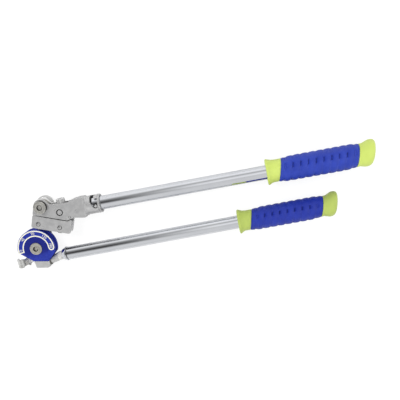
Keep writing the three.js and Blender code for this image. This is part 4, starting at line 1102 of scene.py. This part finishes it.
mid_pin = turned(
    "mid_pin_riveted",
    [(0, yoke_back), (2.7, yoke_back), (3, yoke_back + 0.3), (3, 6.0), (3.1, 6.1), (3.1, 7.6),
     (2.9, 7.95), (2.0, 8.0), (1.7, 7.9), (0, 7.9)], at=(*mid_at, 0))
fit(soften(mid_pin, 0.06), on_yoke, "yoke_handle", "mid_pin", casting)
cross_pin = pin("cross_pin_turned", cross_hole - gap, yoke_back, yoke_front, (*cross_at, 0))
fit(cross_pin, on_yoke, "yoke_handle", "cross_pin", casting)
stop_screw = turned(
    "stop_screw_turned",
    [(0, -4.6), (2.3, -4.6), (stop_core, -4.3), (stop_core, -1.1), (5.1, -1.1), (stop_radius, -0.9),
     (stop_radius, 4.3), (5.1, 4.8), (4.7, 5.0), (0, 5.0)],
    axis="Y", at=(stop_x, 0, 0), sides=80)
for v in stop_screw.data.vertices:  # one line in four of the head's side is pressed in, as a knurl
    x, z = v.co.x - stop_x, v.co.z
    line = round(math.degrees(math.atan2(z, x)) / knurl_step)
    if math.hypot(x, z) > 5.0 and -0.8 < v.co.y < 4.7 and line % knurl_every == 0:
        v.co.x, v.co.z = stop_x + x * knurl_share, z * knurl_share
cut(stop_screw, on_edge(plate("broach", hexagon(stop_flats), -8, -1.95), (stop_x, 0, 0)))
knurled = finish("knurled_steel", (234, 234, 234), (206, 206, 206), (0.18, 0.3), metal=0.72, cloud=(3, 0.6),
                 grained=(0.5, 0.006), worn=((240, 240, 240), 0.6))
fit(smooth(stop_screw, 25), on_yoke, "yoke_handle", "stop_screw", knurled)

# Upper lever: the same chromed tube a little thicker, pushed into the yoke's socket and held by a
# spring button that shows in the socket's window, with its own grip.
upper_radius, upper_bore = 8.5, 7.0
upper_ends = (62.9, 397)
button_x = 67.4
button_lean = 6  # degrees towards the lower lever
button_profile = [
    (0, 5.9), (3.3, 5.9), (3.3, 6.3), (2, 6.3), (2, 9.6), (1.85, 10.05), (1.4, 10.33), (0.8, 10.4), (0, 10.4),
]


def lean_button(piece):
    """Stands a turned piece on the tube's radius where the button is."""
    return move(piece, (button_x, upper_y, 0), (button_lean, 0, 0))


upper_tube = drawn_tube("upper_lever_tube", upper_radius, upper_bore, upper_ends, (0, upper_y, 0))
cut(upper_tube, lean_button(rod(2.9, 0, 11, sides=48)))
fit(smooth(upper_tube, 25), on_yoke, "yoke_handle", "upper_handle_tube", chrome)
bright_steel = finish("bright_steel", (222, 222, 222), (200, 200, 200), (0.14, 0.26), metal=0.95,
                      cloud=(3, 0.6), grained=(0.5, 0.004), worn=((240, 240, 240), 0.6))
button = soften(turned("spring_button", button_profile, sides=64), 0.06)
# Painted shade on the button's foot, where it sits in the tube's hole
coated(button, (bright_steel, shade), lambda c, n: int(c.z < 8.6))  # its foot sits in the tube's dark
fit(lean_button(button), on_yoke, "yoke_handle", "socket_button")
grip("upper", on_yoke, "yoke_handle", upper_y, (lime, rubber), row_half=13, first=276.4, length=125.6,
     flare=15.5, seam=16.1, sleeve=90.8, crest=14.85, tube=upper_radius, tube_end=upper_ends[1])

# Roller bracket: a plated casting with a cheek on each side of the rollers and a web over them. A
# tongue on the web goes up between the yoke's arms to the pin that the bracket rocks on.
bracket_half = 7.25
cheek_inside = bracket_half - 2.5
roller_line = 32.2
roller_pitch = 26.9
bracket_left, bracket_right = -8.3, roller_pitch + 13.7
bracket_foot, web_foot, bracket_top = 26.2, 40.4, 41.9
ear_facing = math.radians(124)
slant_foot = (35.2, 42.95)
ear_away = slant_foot[0] * math.cos(ear_facing) + slant_foot[1] * math.sin(ear_facing) - 1.05
ear_low = (bracket_right, (ear_away - bracket_right * math.cos(ear_facing)) / math.sin(ear_facing))
ear_high = ((ear_away - bracket_top * math.sin(ear_facing)) / math.cos(ear_facing), bracket_top)
tongue_at = (25.1, 51.55)
tongue_eye, tongue_half = 5.6, 3.5
axle_bore, axle_sink, axle_seat = 2.3, 2.85, 6.55
bracket_outline = [
    (bracket_left, bracket_foot, 2.4), (bracket_right, bracket_foot, 2.4), (*ear_low, 1.2), (*ear_high, 0.6),
    (bracket_left, bracket_top, 0.6),
]
bracket = plate("roller_bracket_cast", round_corners(bracket_outline), -bracket_half, bracket_half)
cut(bracket, plate("pocket", oblong(-11, 43, 24, web_foot), -cheek_inside, cheek_inside))
cut(bracket, plate("gap", oblong(slant_foot[0], 43, bracket_top, 55), -cheek_inside, cheek_inside))
tongue = [(tongue_at[0] - tongue_eye, 41.1), (tongue_at[0] + tongue_eye, 41.1),
          *bow(tongue_eye, 0, 180, 24, *tongue_at)]
cut(bracket, plate("tongue", tongue, -tongue_half, tongue_half), how="UNION")
cut(bracket, rod(mid_hole, -6, 6, (*tongue_at, 0)))
cast(bracket, 0.34, 2)
axles = [(along, roller_line, 0) for along in (0, roller_pitch)]
for at in axles:
    cut(bracket, cut(rod(axle_bore, -9, 9, at), rod(axle_sink, axle_seat, 9, at), how="UNION"))


def bracket_finish(c, n):
    """Painted shade darkens the counterbores and the top faces under the yoke; painted light brightens the
    far cheek's end.
    """
    by_yoke = n.y > 0.6 and c.y > bracket_top - 0.6 and 3 < c.x < 34
    if by_yoke or c.z > 0 and any(math.dist((c.x, c.y), at[:2]) < 2.8 for at in axles):
        return 1
    return 2 if c.z < 0.3 - cheek_inside and c.x > 35 else 0


coated(smooth(bracket, 40), (casting, casting_painted_shade, casting_painted_light), bracket_finish)
fit(bracket, on_head, "bracket", "roller_bracket")

# Rollers and their axles: two hardened steel rollers with the tube's groove turned in their rims,
# on riveted steel axles whose near heads show in the bracket's cheek.
roller_radius = 7.8
roller_half = 4.4
roller_chamfer = 0.3
tube_line = roller_line - 24  # from the roller's axis to the bent tube's
axle_profile = [
    (0, -bracket_half), (1.8, -bracket_half), (2, -bracket_half + 0.2), (2, 6.0), (2.2, 6.1), (2.25, 6.9),
    (2.15, 7.3), (1.8, 7.5), (1.2, 7.55), (0, 7.55),
]
lip = math.degrees(math.acos((tube_line - roller_radius) / groove_radius))
rim = [(tube_line - x, y) for x, y in bow(groove_radius, -lip, lip, 20)]
face_edge = roller_radius - roller_chamfer
roller_profile = [(axle_bore, -roller_half), (face_edge, -roller_half), *rim, (face_edge, roller_half),
                  (axle_bore, roller_half), (axle_bore, -roller_half)]
for which, at in zip(("near", "far"), axles):
    axle = turned("axle_riveted_" + which, axle_profile, at=at, sides=64)
    fit(soften(axle, 0.05), on_head, "bracket", "axle_" + which, bright_steel)
    roller = soften(turned("grooved_roller_" + which, roller_profile, at=at), 0.12)
    hard = finish("hardened_steel_" + which, (170, 169, 165), (150, 149, 146), (0.2, 0.34), metal=0.9,
                  cloud=(5, 0.6), grained=(0.5, 0.003), worn=((215, 214, 210), 0.6),
                  rings=(rotated([at[:2]], head_turn)[0], 0.5, 0.006))
    fit(roller, on_head, which + "_roller", "roller_" + which, hard)

bpy.ops.object.select_all(action="DESELECT")
